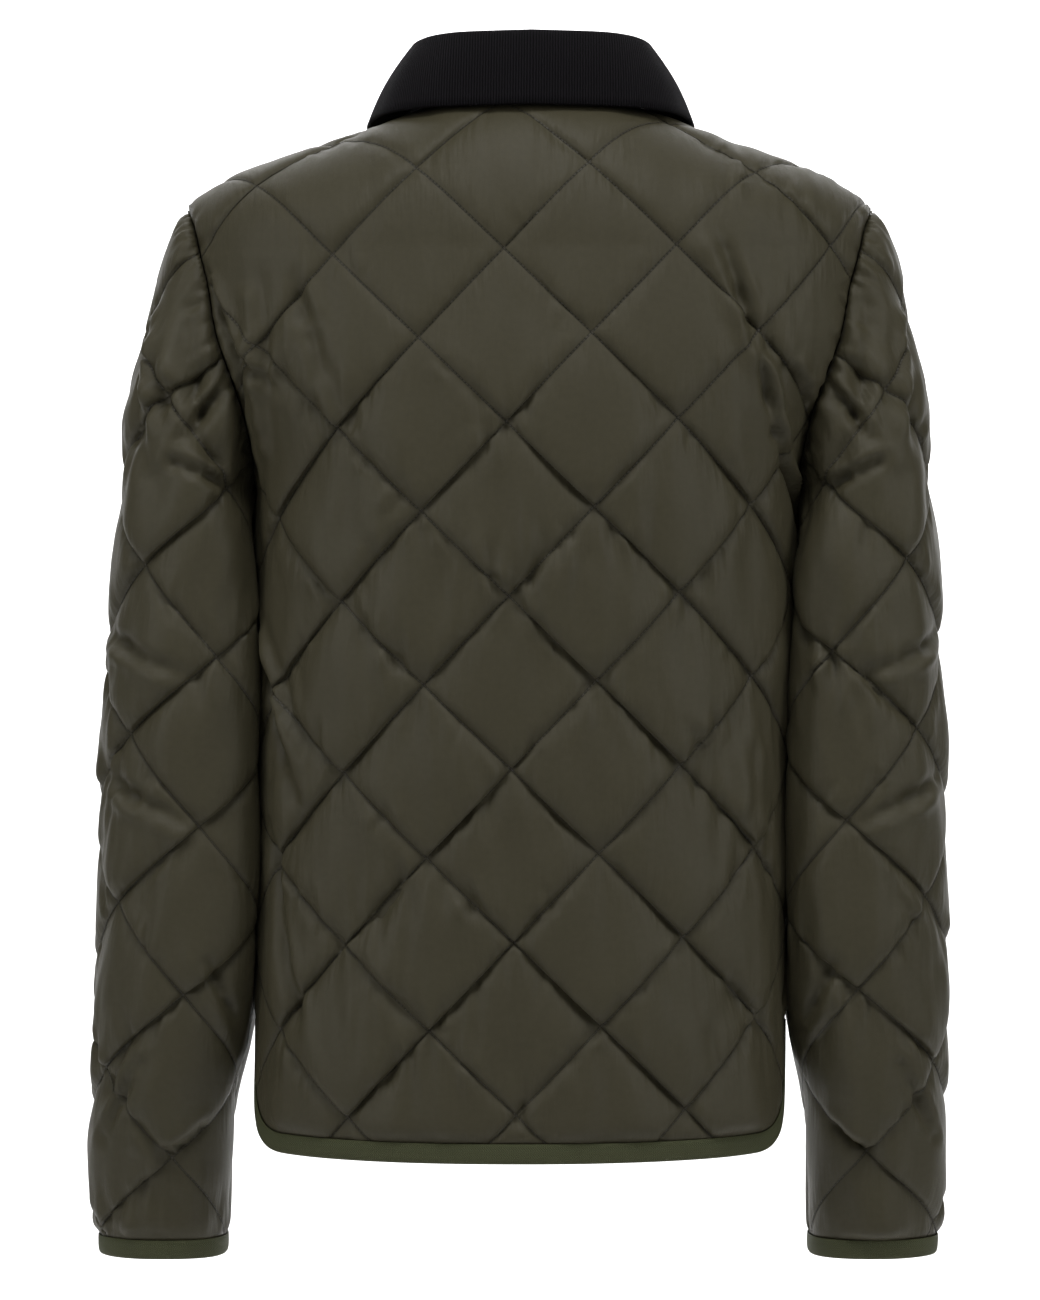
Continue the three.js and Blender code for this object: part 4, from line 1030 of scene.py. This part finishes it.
def body_fade(side):
    armpit = body_ring(side, Z_ARMPIT).total

    def fade(s, t):
        from_armpit = np.hypot(np.abs(s) - armpit, t - (Z_ARMPIT - Z_BLADE))
        total = np.interp(Z_BLADE + t, side_heights, side_totals[side])
        touch = np.where(t < Z_ARMPIT - Z_BLADE, touching(total - np.abs(s)), 1)
        upper = UPPER_PUFF[0] + (1 - UPPER_PUFF[0]) * smooth(UPPER_PUFF[1], UPPER_PUFF[2], -t)
        return np.minimum.reduce([near_neck(side, s, t), smooth(*ARMPIT_FADE, from_armpit), touch]) * upper

    return fade


def front_fade(s, t):
    return np.minimum(body_fade("front")(s, t), smooth(-LAP + PLACKET, -LAP + PLACKET + 8, s))


def sleeve_fade(s, t):
    low_t = np.minimum(t, 0)
    total = np.where(s > 0, np.interp(low_t, sleeve_lengths, sleeve_totals[:, 0]),
                     np.interp(low_t, sleeve_lengths, sleeve_totals[:, 1]))
    from_armpit = np.hypot(np.abs(s) - sleeve_totals[-1, 0], t)
    head = 1 - 0.45 * smooth(70, 150, t)
    outside = 0.62 + 0.38 * smooth(12, 60, np.abs(s))
    return np.minimum(smooth(*ARMPIT_FADE, from_armpit), touching(total - np.abs(s))) * head * outside


def side_bulge(side):
    """Below the armhole the side seams fill out until they meet the sleeves."""

    def lift(s, t):
        total = np.interp(Z_BLADE + t, side_heights, side_totals[side])
        z = Z_BLADE + t
        level = SIDE_BULGE * smooth(-535, -490, z) * (1 - smooth(-262, -246, z))
        level = level + ARMPIT_BULGE * np.exp(-(((z + 274) / 20) ** 2))
        return level * np.exp(-np.maximum(total - np.abs(s), 0) / 12)

    return lift


def left_front_lift(s, t):
    return lap_lift(s) + side_bulge("front")(s, t)


def lap_lift(s, t=0):
    return (WALL + LAP_GAP) * (1 - smooth(LAP_RAMP[0], LAP_RAMP[1], s))


back_tape = tape_path(hem_edge("back", Z_HEM_BACK, 0))
front_tape = tape_path(hem_edge("front", Z_HEM_FRONT, -LAP))
front_tape[0][-1][0] = -LAP
back_cut = cut(back_outline(back_tape[0]))
front_cut = cut(front_outline(front_tape[0]))
sleeve_cut = cut(sleeve_outline())

panels = {
    "back": Panel("shell_back", back_cut, QUILT["back"], surfaces["back"], body_fade("back"), FOLDS["back"], 11,
                  extra=side_bulge("back")),
    "front_left": Panel("shell_front_left", front_cut, QUILT["front"], surfaces["front"], front_fade,
                        FOLDS["front"], 12, extra=left_front_lift),
    "front_right": Panel("shell_front_right", front_cut, QUILT["front"], surfaces["front"], front_fade,
                         FOLDS["front"], 13, extra=side_bulge("front")),
    "sleeve_left": Panel("shell_sleeve_left", sleeve_cut, QUILT["sleeve_left"], surfaces["sleeve"], sleeve_fade,
                         FOLDS["sleeve"], 14, sign=-1),
    "sleeve_right": Panel("shell_sleeve_right", sleeve_cut, QUILT["sleeve_right"], surfaces["sleeve"], sleeve_fade,
                          FOLDS["sleeve"], 15, sign=-1),
}
built = {}
for node, panel in panels.items():
    built[node] = panel.build(mirrored=node.endswith("_right"))
    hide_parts(node)


# Stitching
STITCH = 2.6
STITCH_SIZE = (2.0, 0.5, 0.34)


def stitch_rows(panel):
    """Centres and directions of the stitches along a panel's quilting lines, in lattice coordinates."""
    lows, highs = (panel.i0, panel.j0), (panel.i0 + panel.shape[0] - 1, panel.j0 + panel.shape[1] - 1)
    pitch = STITCH / CELL / math.sqrt(2)
    centres, headings = [], []
    for sense in (1, -1):
        first = math.ceil((lows[0] + (lows[1] if sense > 0 else -highs[1])) / TURN)
        last = math.floor((highs[0] + (highs[1] if sense > 0 else -lows[1])) / TURN)
        for k in range(first, last + 1):
            i = np.arange(lows[0] + 0.3, highs[0], pitch)
            j = sense * (k * TURN - i)
            ok = (j > lows[1]) & (j < highs[1])
            i, j = i[ok], j[ok]
            u, v = (i - lows[0]).round().astype(int), (j - lows[1]).round().astype(int)
            deep_in = panel.edge[np.clip(u, 0, panel.shape[0] - 1), np.clip(v, 0, panel.shape[1] - 1)] > 1.5
            centres.append(np.stack([i[deep_in], j[deep_in]], axis=1))
            headings.append(np.tile([1 / math.sqrt(2), -sense / math.sqrt(2)], (deep_in.sum(), 1)))
    return np.concatenate(centres), np.concatenate(headings)


def stitch_mesh(name, panel, mirrored, skip=None):
    centres, headings = stitch_rows(panel)
    if skip is not None:
        s, t = panel.flat(centres[:, 0], centres[:, 1])
        keep = ~skip(s, t)
        centres, headings = centres[keep], headings[keep]
    rng = np.random.default_rng(5)
    centres = centres + rng.normal(0, 0.03, centres.shape)
    long, wide, tall = STITCH_SIZE
    across = np.stack([-headings[:, 1], headings[:, 0]], axis=1)
    corners = []
    for x, y, z in [(-0.5, -0.3, 0), (-0.5, 0.3, 0), (0.5, 0.3, 0), (0.5, -0.3, 0),
                    (-0.36, -0.5, 1), (-0.36, 0.5, 1), (0.36, 0.5, 1), (0.36, -0.5, 1)]:
        place = centres + headings * x * long / CELL + across * y * wide / CELL
        s, t = panel.flat(place[:, 0], place[:, 1])
        lift = panel.height_at(place[:, 0], place[:, 1]) + z * tall - 0.06
        corners.append(panel.surface.place(s, t, lift))
    points = np.stack(corners, axis=1).reshape(-1, 3)
    if mirrored:
        points[:, 0] = -points[:, 0]
    box = np.array([(0, 1, 2), (0, 2, 3), (4, 6, 5), (4, 7, 6), (0, 4, 5), (0, 5, 1),
                    (1, 5, 6), (1, 6, 2), (2, 6, 7), (2, 7, 3), (3, 7, 4), (3, 4, 0)])
    triangles = (np.arange(len(centres))[:, None, None] * 8 + box).reshape(-1, 3)
    return make_mesh(name, points, triangles, smooth_shade=False)


threads = []
for node, panel in panels.items():
    skip = None
    if node.startswith("front"):
        skip = lambda s, t: s < -LAP + PLACKET
    thread = stitch_mesh("stitches_" + node, panel, node.endswith("_right"), skip)
    threads.append(thread)


# Bound edges
# The tape folds over the edge: across runs from the cloth to the edge, lift is out from the cloth
TAPE_OUTSIDE = [
    (0, 0.6), (0.03, 0.9), (0.25, 1.1), (0.5, 1.2), (0.75, 1.1), (0.9, 0.75), (0.97, 0.1), (1, -1.2),
    (0.97, -2.5), (0.9, -3.1), (0.5, -3.45), (0.25, -3.4), (0.03, -3.3), (0, -3.1),
]
TAPE_INSIDE = [
    (0, -2.75), (0.03, -2.6), (0.25, -2.65), (0.5, -2.7), (0.85, -2.45), (0.92, -2.1), (0.94, -1.2),
    (0.92, -0.3), (0.85, 0.05), (0.5, 0.35), (0.25, 0.3), (0.1, 0.25), (0.03, 0.2), (0, 0.35),
]
TAPE_SECTION = TAPE_OUTSIDE + TAPE_INSIDE


def bar(name, rings, uv_rows):
    """A bar of constant section along a path, with a ladder between its two sides as each end cap."""
    rows, count = rings.shape[:2]
    k, m = np.meshgrid(np.arange(rows - 1), np.arange(count), indexing="ij")
    a, b = k * count + m, k * count + (m + 1) % count
    triangles = [np.stack([a, b, b + count], axis=-1).reshape(-1, 3),
                 np.stack([a, b + count, a + count], axis=-1).reshape(-1, 3)]
    m = np.arange(count // 2 - 1)
    near = np.stack([m, m + 1, count - 2 - m, count - 1 - m], axis=1)
    far = near + (rows - 1) * count
    triangles += [near[:, [0, 2, 1]], near[:, [0, 3, 2]], far[:, [0, 1, 2]], far[:, [0, 2, 3]]]
    return make_mesh(name, rings.reshape(-1, 3), np.concatenate(triangles), uv_rows.reshape(-1, 2))


def resampled(path, spacing):
    inner, outer = path
    run = np.concatenate([[0], np.cumsum(np.hypot(*np.diff((inner + outer) / 2, axis=0).T))])
    at = np.linspace(0, run[-1], int(run[-1] / spacing) + 1)
    pick = lambda rows: np.stack([np.interp(at, run, rows[:, k]) for k in (0, 1)], axis=1)
    return pick(inner), pick(outer), at


def tape(name, path, surface, seed, mirrored=False, extra=None):
    inner, outer, run = resampled(path, 3.0)
    rng = np.random.default_rng(seed)
    wave = grain(rng, (len(run), 1), (4, 0))[:, 0] * 0.22
    rings, uv = [], []
    gap = SEAM_GAP / 2 / TAPE
    for share, lift in TAPE_SECTION:
        u = gap + share * (1 - gap)
        place = inner + (outer - inner) * u
        rise = lift + wave * (0.5 if lift > -1.2 else -0.5)
        if extra is not None:
            rise = rise + extra(place[:, 0], place[:, 1])
        rings.append(surface.place(place[:, 0], place[:, 1], rise))
        uv.append(np.stack([run, np.full(len(run), share * TAPE)], axis=1))
    rings = np.stack(rings, axis=1)
    if mirrored:
        rings[..., 0] = -rings[..., 0]
    return bar(name, rings, np.stack(uv, axis=1) / 10)


left_half = tuple(np.stack([-rows[::-1, 0], rows[::-1, 1]], axis=1)[1:] for rows in back_tape)
whole_hem = tuple(np.concatenate(pair) for pair in zip(back_tape, left_half))


def cuff_path():
    bottom, top = sleeve_ring(Z_CUFF), sleeve_ring(Z_CUFF + TAPE)
    u = np.linspace(-1, 1, 100)

    def reach(ring, t):
        s = np.where(u > 0, (ring[0].total - SEAM_GAP / 2) * u, (ring[1].total - SEAM_GAP / 2) * u)
        return np.stack([s, np.full(len(u), t)], axis=1)

    return reach(top, sleeve_length(Z_CUFF + TAPE)), reach(bottom, sleeve_length(Z_CUFF))


tapes = {
    "binding_back": tape("tape_back", whole_hem, surfaces["back"], 21),
    "binding_front_left": tape("tape_front_left", front_tape, surfaces["front"], 22, extra=lap_lift),
    "binding_front_right": tape("tape_front_right", front_tape, surfaces["front"], 23, mirrored=True),
    "binding_cuff_left": tape("tape_cuff_left", cuff_path(), surfaces["sleeve"], 24),
    "binding_cuff_right": tape("tape_cuff_right", cuff_path(), surfaces["sleeve"], 25, mirrored=True),
}
for node, obj in tapes.items():
    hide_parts(node)


# Collar
COLLAR_LEAF = 10
ROLL_RISE = 3
FALL_BELLY = 2.5


def collar_line(turn):
    away = abs(turn)
    side = "back" if away <= 90 else "front"
    s, t = neck_flat(side, away)
    tip, below = body_point(side, s, t), body_point(side, s, t - 4)
    rising = (tip - below) / np.linalg.norm(tip - below)
    rising = rising * 0.5 + np.array([0, 0, 0.5])
    seat = tip + rising / np.linalg.norm(rising) * COLLAR_SEAT
    fold = np.array([collar_row["fold" + axis](away) for axis in "XYZ"], float)
    edge = np.array([collar_row["edge" + axis](away) for axis in "XYZ"], float)
    outward = edge - seat
    outward[2] = 0
    outward /= np.linalg.norm(outward)
    line = [seat + (fold - seat) * k / COLLAR_LEAF for k in range(COLLAR_LEAF)]
    roll = fold + outward * 3.6 + np.array([0, 0, 0.6])
    line.append(fold)
    line.append((fold + roll) / 2 + np.array([0, 0, 1.1]))
    for k in range(COLLAR_LEAF + 1):
        u = k / COLLAR_LEAF
        p = roll + (edge - roll) * u + outward * FALL_BELLY * math.sin(math.pi * u)
        p[2] += ROLL_RISE * math.sin(math.pi * u) * 0.3
        line.append(p)
    line = np.array(line)
    if turn < 0:
        line[:, 0] = -line[:, 0]
    return line


def collar():
    turns = np.linspace(-COLLAR_FRONT_TURN, COLLAR_FRONT_TURN, 225)
    lines = np.array([collar_line(turn) for turn in turns])
    tangent = np.gradient(lines, axis=1)
    around = np.gradient(lines, axis=0)
    normal = np.cross(tangent, around)
    normal /= np.linalg.norm(normal, axis=2, keepdims=True)
    thick = np.full(lines.shape[1], COLLAR_WALL / 2)
    one = lines + normal * thick[None, :, None]
    other = (lines - normal * thick[None, :, None])[:, ::-1]
    rings = np.concatenate([one, other], axis=1)
    middle = len(turns) // 2
    step = np.linalg.norm(np.diff(lines, axis=0), axis=2)
    run = np.concatenate([np.zeros((1, lines.shape[1])), np.cumsum(step, axis=0)])
    run -= run[middle]
    down = np.concatenate([[0], np.cumsum(np.linalg.norm(np.diff(lines[middle], axis=0), axis=1))])
    uv = np.stack([run, np.broadcast_to(down, run.shape)], axis=2)
    uv = np.concatenate([uv, uv[:, ::-1]], axis=1) / 10
    return bar("collar_corduroy", rings, uv), run, down


collar_obj, collar_run, collar_down = collar()
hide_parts("collar")


# Materials
def shader(name):
    material = bpy.data.materials.new(name)
    material.use_nodes = True
    nodes, links = material.node_tree.nodes, material.node_tree.links
    return material, nodes, links, nodes["Principled BSDF"]


def node_of(nodes, kind, **settings):
    node = nodes.new(kind)
    for name, value in settings.items():
        if name.startswith("in_"):
            node.inputs[name[3:].replace("_", " ")].default_value = value
        else:
            setattr(node, name, value)
    return node


def math_node(nodes, links, operation, a, b=None, c=None):
    node = nodes.new("ShaderNodeMath")
    node.operation = operation
    for socket, value in zip(node.inputs, (a, b, c)):
        if value is None:
            continue
        if hasattr(value, "links"):
            links.new(value, socket)
        else:
            socket.default_value = value
    return node.outputs[0]


def mixed(nodes, links, factor, first, second):
    node = nodes.new("ShaderNodeMix")
    node.data_type = "RGBA"
    for socket, value in ((node.inputs["Factor"], factor), (node.inputs["A"], first), (node.inputs["B"], second)):
        if hasattr(value, "links"):
            links.new(value, socket)
        else:
            socket.default_value = value
    for socket, value in ((node.inputs[6], first), (node.inputs[7], second)):
        if hasattr(value, "links"):
            links.new(value, socket)
        else:
            socket.default_value = value
    return node.outputs[2]


def shell_material(name, base, high):
    material, nodes, links, principled = shader(name)
    uv = node_of(nodes, "ShaderNodeUVMap", uv_map="cloth").outputs[0]
    split = node_of(nodes, "ShaderNodeSeparateXYZ")
    links.new(uv, split.inputs[0])
    across, along = split.outputs[0], split.outputs[1]
    line, groove_shade_and_dip = None, None
    for operation, other in (("ADD", "SUBTRACT"), ("SUBTRACT", "ADD")):
        place = math_node(nodes, links, operation, across, along)
        place = math_node(nodes, links, "ADD", place, 0.5)
        place = math_node(nodes, links, "FRACT", place)
        place = math_node(nodes, links, "SUBTRACT", place, 0.5)
        place = math_node(nodes, links, "ABSOLUTE", place)
        line = place if line is None else math_node(nodes, links, "MINIMUM", line, place)
        # A wave at the stitch pitch breaks the painted groove shade along each line into dots.
        run = math_node(nodes, links, other, across, along)
        run = math_node(nodes, links, "MULTIPLY", run, 2 * math.pi * DIAMOND / math.sqrt(2) / STITCH)
        stitch_beat = math_node(nodes, links, "SINE", run)
        stitch_beat = math_node(nodes, links, "MULTIPLY_ADD", stitch_beat, 0.3, c=0.7)
        near = node_of(nodes, "ShaderNodeMapRange", interpolation_type="SMOOTHSTEP")
        links.new(math_node(nodes, links, "MULTIPLY", place, DIAMOND / math.sqrt(2)), near.inputs[0])
        for socket, value in zip(near.inputs[1:5], (0.2, 1.25, 1.0, 0.0)):
            socket.default_value = value
        dots = math_node(nodes, links, "MULTIPLY", near.outputs[0], stitch_beat)
        groove_shade_and_dip = dots if groove_shade_and_dip is None else math_node(nodes, links, "MAXIMUM", groove_shade_and_dip, dots)
    distance = math_node(nodes, links, "MULTIPLY", line, DIAMOND / math.sqrt(2))
    mottle = node_of(nodes, "ShaderNodeTexNoise", in_Scale=26.0, in_Detail=3.0, in_Roughness=0.5)
    links.new(uv, mottle.inputs["Vector"])
    colour = mixed(nodes, links, mottle.outputs[0], base, high)
    # Painted shade: along the quilting lines the base colour is darkened towards 0.3 of itself, in dots at the stitch
    # pitch, for the shade in the stitched grooves. The same mask also dips the bump height.
    groove_shade_colour = tuple(0.3 * x for x in base[:3]) + (1.0,)
    shade = math_node(nodes, links, "MULTIPLY", groove_shade_and_dip, 0.9)
    colour = mixed(nodes, links, shade, colour, groove_shade_colour)
    links.new(colour, principled.inputs["Base Color"])
    weave_place = node_of(nodes, "ShaderNodeMapping")
    weave_place.inputs["Scale"].default_value = (90, 620, 1)
    links.new(uv, weave_place.inputs[0])
    weave = node_of(nodes, "ShaderNodeTexNoise", in_Scale=1.0, in_Detail=2.0)
    links.new(weave_place.outputs[0], weave.inputs["Vector"])
    height = math_node(nodes, links, "SUBTRACT", weave.outputs[0], math_node(
        nodes, links, "MULTIPLY", groove_shade_and_dip, 2.2))
    wrinkle_place = node_of(nodes, "ShaderNodeMapping")
    wrinkle_place.inputs["Scale"].default_value = (24, 5, 1)
    links.new(uv, wrinkle_place.inputs[0])
    wrinkle = node_of(nodes, "ShaderNodeTexNoise", in_Scale=1.0, in_Detail=1.5)
    links.new(wrinkle_place.outputs[0], wrinkle.inputs["Vector"])
    nearness = node_of(nodes, "ShaderNodeMapRange", interpolation_type="SMOOTHSTEP")
    links.new(distance, nearness.inputs[0])
    for socket, value in zip(nearness.inputs[1:5], (2.0, 22.0, 1.0, 0.18)):
        socket.default_value = value
    soft = node_of(nodes, "ShaderNodeBump", in_Strength=0.7, in_Distance=0.0016)
    links.new(math_node(nodes, links, "MULTIPLY", wrinkle.outputs[0], nearness.outputs[0]), soft.inputs["Height"])
    bump = node_of(nodes, "ShaderNodeBump", in_Strength=0.5, in_Distance=0.00025)
    links.new(soft.outputs[0], bump.inputs["Normal"])
    links.new(height, bump.inputs["Height"])
    links.new(bump.outputs[0], principled.inputs["Normal"])
    rough = node_of(nodes, "ShaderNodeMapRange")
    links.new(weave.outputs[0], rough.inputs[0])
    for socket, value in zip(rough.inputs[1:5], (0.2, 0.8, 0.42, 0.56)):
        socket.default_value = value
    links.new(rough.outputs[0], principled.inputs["Roughness"])
    principled.inputs["Specular IOR Level"].default_value = 0.26
    principled.inputs["Sheen Weight"].default_value = 0.02
    principled.inputs["Sheen Roughness"].default_value = 0.45
    principled.inputs["Sheen Tint"].default_value = (0.62, 0.58, 0.45, 1)
    return material


def corduroy_material():
    material, nodes, links, principled = shader("corduroy")
    uv = node_of(nodes, "ShaderNodeUVMap", uv_map="cloth").outputs[0]
    split = node_of(nodes, "ShaderNodeSeparateXYZ")
    links.new(uv, split.inputs[0])
    jitter = node_of(nodes, "ShaderNodeTexNoise", in_Scale=3.0, in_Detail=2.0)
    links.new(uv, jitter.inputs["Vector"])
    sway = math_node(nodes, links, "MULTIPLY", math_node(nodes, links, "SUBTRACT", jitter.outputs[0], 0.5), 0.06)
    place = math_node(nodes, links, "ADD", split.outputs[0], sway)
    angle = math_node(nodes, links, "MULTIPLY", place, 10 * 2 * math.pi / WALE)
    wave = math_node(nodes, links, "COSINE", angle)
    rib = node_of(nodes, "ShaderNodeMapRange", interpolation_type="SMOOTHSTEP")
    links.new(wave, rib.inputs[0])
    for socket, value in zip(rib.inputs[1:5], (-0.9, 0.5, 0.0, 1.0)):
        socket.default_value = value
    fuzz = node_of(nodes, "ShaderNodeTexNoise", in_Scale=60.0, in_Detail=4.0)
    links.new(uv, fuzz.inputs["Vector"])
    # Painted shade: the valleys between the wales get a near-black colour for the shade between the ribs. The wale tops
    # vary in tone at random.
    top = mixed(nodes, links, fuzz.outputs[0], (0.006, 0.0052, 0.0066, 1), (0.0125, 0.011, 0.0135, 1))
    colour = mixed(nodes, links, rib.outputs[0], (0.0018, 0.0016, 0.0019, 1), top)
    links.new(colour, principled.inputs["Base Color"])
    height = math_node(nodes, links, "ADD", rib.outputs[0], math_node(
        nodes, links, "MULTIPLY", fuzz.outputs[0], 0.35))
    bump = node_of(nodes, "ShaderNodeBump", in_Strength=1.0, in_Distance=0.0006)
    links.new(height, bump.inputs["Height"])
    links.new(bump.outputs[0], principled.inputs["Normal"])
    principled.inputs["Roughness"].default_value = 0.95
    principled.inputs["Specular IOR Level"].default_value = 0.1
    principled.inputs["Sheen Weight"].default_value = 0.07
    principled.inputs["Sheen Roughness"].default_value = 0.4
    principled.inputs["Sheen Tint"].default_value = (0.4, 0.38, 0.42, 1)
    return material


def tape_material(name="tape"):
    material, nodes, links, principled = shader(name)
    uv = node_of(nodes, "ShaderNodeUVMap", uv_map="cloth").outputs[0]
    split = node_of(nodes, "ShaderNodeSeparateXYZ")
    links.new(uv, split.inputs[0])
    rib = math_node(nodes, links, "SINE", math_node(nodes, links, "MULTIPLY", split.outputs[0], 10 * 2 * math.pi / 1.3))
    zigzag = math_node(nodes, links, "PINGPONG", math_node(nodes, links, "MULTIPLY", split.outputs[1], 10.0), 2.1)
    slant = math_node(nodes, links, "ADD", math_node(nodes, links, "MULTIPLY", split.outputs[0], 10.0), zigzag)
    twill = math_node(nodes, links, "SINE", math_node(nodes, links, "MULTIPLY", slant, 2 * math.pi / 1.5))
    height = math_node(nodes, links, "ADD", math_node(nodes, links, "MULTIPLY", rib, 0.35), twill)
    fuzz = node_of(nodes, "ShaderNodeTexNoise", in_Scale=14.0, in_Detail=4.0)
    links.new(uv, fuzz.inputs["Vector"])
    shade = node_of(nodes, "ShaderNodeMapRange")
    links.new(height, shade.inputs[0])
    for socket, value in zip(shade.inputs[1:5], (-1.3, 1.3, 0.0, 1.0)):
        socket.default_value = value
    # Painted shade: the colour follows the weave's bump height, lighter on the raised threads and darker in the
    # hollows. A random tone from the noise is mixed in.
    factor = math_node(nodes, links, "MULTIPLY", math_node(nodes, links, "ADD", shade.outputs[0], fuzz.outputs[0]), 0.5)
    colour = mixed(nodes, links, factor, (0.044, 0.049, 0.021, 1), (0.112, 0.12, 0.056, 1))
    links.new(colour, principled.inputs["Base Color"])
    bump = node_of(nodes, "ShaderNodeBump", in_Strength=0.7, in_Distance=0.0003)
    links.new(height, bump.inputs["Height"])
    links.new(bump.outputs[0], principled.inputs["Normal"])
    principled.inputs["Roughness"].default_value = 0.72
    principled.inputs["Specular IOR Level"].default_value = 0.3
    return material


def thread_material():
    material, nodes, links, principled = shader("thread")
    fuzz = node_of(nodes, "ShaderNodeTexNoise", in_Scale=900.0)
    place = nodes.new("ShaderNodeTexCoord")
    links.new(place.outputs["Object"], fuzz.inputs["Vector"])
    links.new(mixed(nodes, links, fuzz.outputs[0], (0.04, 0.035, 0.024, 1), (0.075, 0.068, 0.048, 1)),
              principled.inputs["Base Color"])
    principled.inputs["Roughness"].default_value = 0.5
    return material


def stud_material():
    material, nodes, links, principled = shader("stud")
    fuzz = node_of(nodes, "ShaderNodeTexNoise", in_Scale=300.0, in_Detail=4.0)
    place = nodes.new("ShaderNodeTexCoord")
    links.new(place.outputs["Object"], fuzz.inputs["Vector"])
    links.new(mixed(nodes, links, fuzz.outputs[0], (0.022, 0.02, 0.017, 1), (0.05, 0.046, 0.038, 1)),
              principled.inputs["Base Color"])
    principled.inputs["Metallic"].default_value = 0.85
    principled.inputs["Roughness"].default_value = 0.38
    return material


shell = shell_material("shell", (0.057, 0.0505, 0.0285, 1), (0.072, 0.0645, 0.0385, 1))
corduroy = corduroy_material()
tape_cloth = tape_material()
thread = thread_material()
stud = stud_material()
for obj in built.values():
    obj.data.materials.append(shell)
for obj in threads:
    obj.data.materials.append(thread)
for obj in tapes.values():
    obj.data.materials.append(tape_cloth)
collar_obj.data.materials.append(corduroy)
for index in range(1, 6):
    snap = bpy.data.objects["snap_%d" % index]
    snap.data.materials.clear()
    snap.data.materials.append(stud)

# Flat sizes of the cut
for node, panel in panels.items():
    abs(turned_area(panel.outline)) * MM * MM
for obj, path in ((tapes["binding_back"], whole_hem), (tapes["binding_front_left"], front_tape),
                  (tapes["binding_front_right"], front_tape), (tapes["binding_cuff_left"], cuff_path()),
                  (tapes["binding_cuff_right"], cuff_path())):
    run = resampled(path, 3.0)[2][-1]

# Floor, light and camera
FLOOR_Z = -2.4


def backdrop():
    """A floor that curves up into a wall, all one pale surface."""
    line = [(6.0, FLOOR_Z)]
    line += [(-3.4 - 1.6 * math.sin(k * math.pi / 24), FLOOR_Z + 1.6 - 1.6 * math.cos(k * math.pi / 24))
             for k in range(13)]
    line.append((-5.0, 6.0))
    points = [(x, y, z) for x in (-7, 7) for y, z in line]
    count = len(line)
    faces = [(k, k + 1, k + 1 + count, k + count) for k in range(count - 1)]
    mesh = bpy.data.meshes.new("backdrop")
    mesh.from_pydata(points, [], faces)
    mesh.polygons.foreach_set("use_smooth", [True] * len(faces))
    obj = bpy.data.objects.new("backdrop", mesh)
    bpy.context.scene.collection.objects.link(obj)
    material, nodes, links, principled = shader("paper")
    principled.inputs["Base Color"].default_value = (0.9, 0.9, 0.9, 1)
    principled.inputs["Roughness"].default_value = 0.9
    obj.data.materials.append(material)
    return obj


def lamp(name, place, target, size, power):
    data = bpy.data.lights.new(name, "AREA")
    data.shape = "RECTANGLE"
    data.size, data.size_y = size
    data.energy = power
    obj = bpy.data.objects.new(name, data)
    obj.location = place
    obj.rotation_mode = "QUATERNION"
    obj.rotation_quaternion = (Vector(target) - Vector(place)).to_track_quat("-Z", "Y")
    bpy.context.scene.collection.objects.link(obj)
    return obj


paper = backdrop()
lamps = [
    lamp("light_left", (2.1, 1.5, 0.5), (0.05, 0, -0.35), (0.9, 1.8), 17),
    lamp("light_right", (-2.1, 1.5, 0.5), (-0.05, 0, -0.35), (0.9, 1.8), 17),
    lamp("light_top", (0, 1.5, 2.1), (0, 0, -0.3), (1.6, 0.9), 34),
    lamp("light_wall", (0, -1.8, 2.4), (0, -5, -0.3), (4.0, 1.5), 420),
]

world = bpy.data.worlds.new("studio")
world.use_nodes = True
world.node_tree.nodes["Background"].inputs[0].default_value = (1, 1, 1, 1)
world.node_tree.nodes["Background"].inputs[1].default_value = 0.13
scene = bpy.context.scene
scene.world = world
scene.view_settings.view_transform = "Standard"

lens = bpy.data.cameras.new("camera")
lens.lens = 129.8
lens.sensor_width = 36
camera = bpy.data.objects.new("camera", lens)
camera.location = (7.04 * MM, 3.0, -0.349)
camera.rotation_mode = "QUATERNION"
camera.rotation_quaternion = Vector((0, -1, 0)).to_track_quat("-Z", "Y")
scene.collection.objects.link(camera)
scene.camera = camera
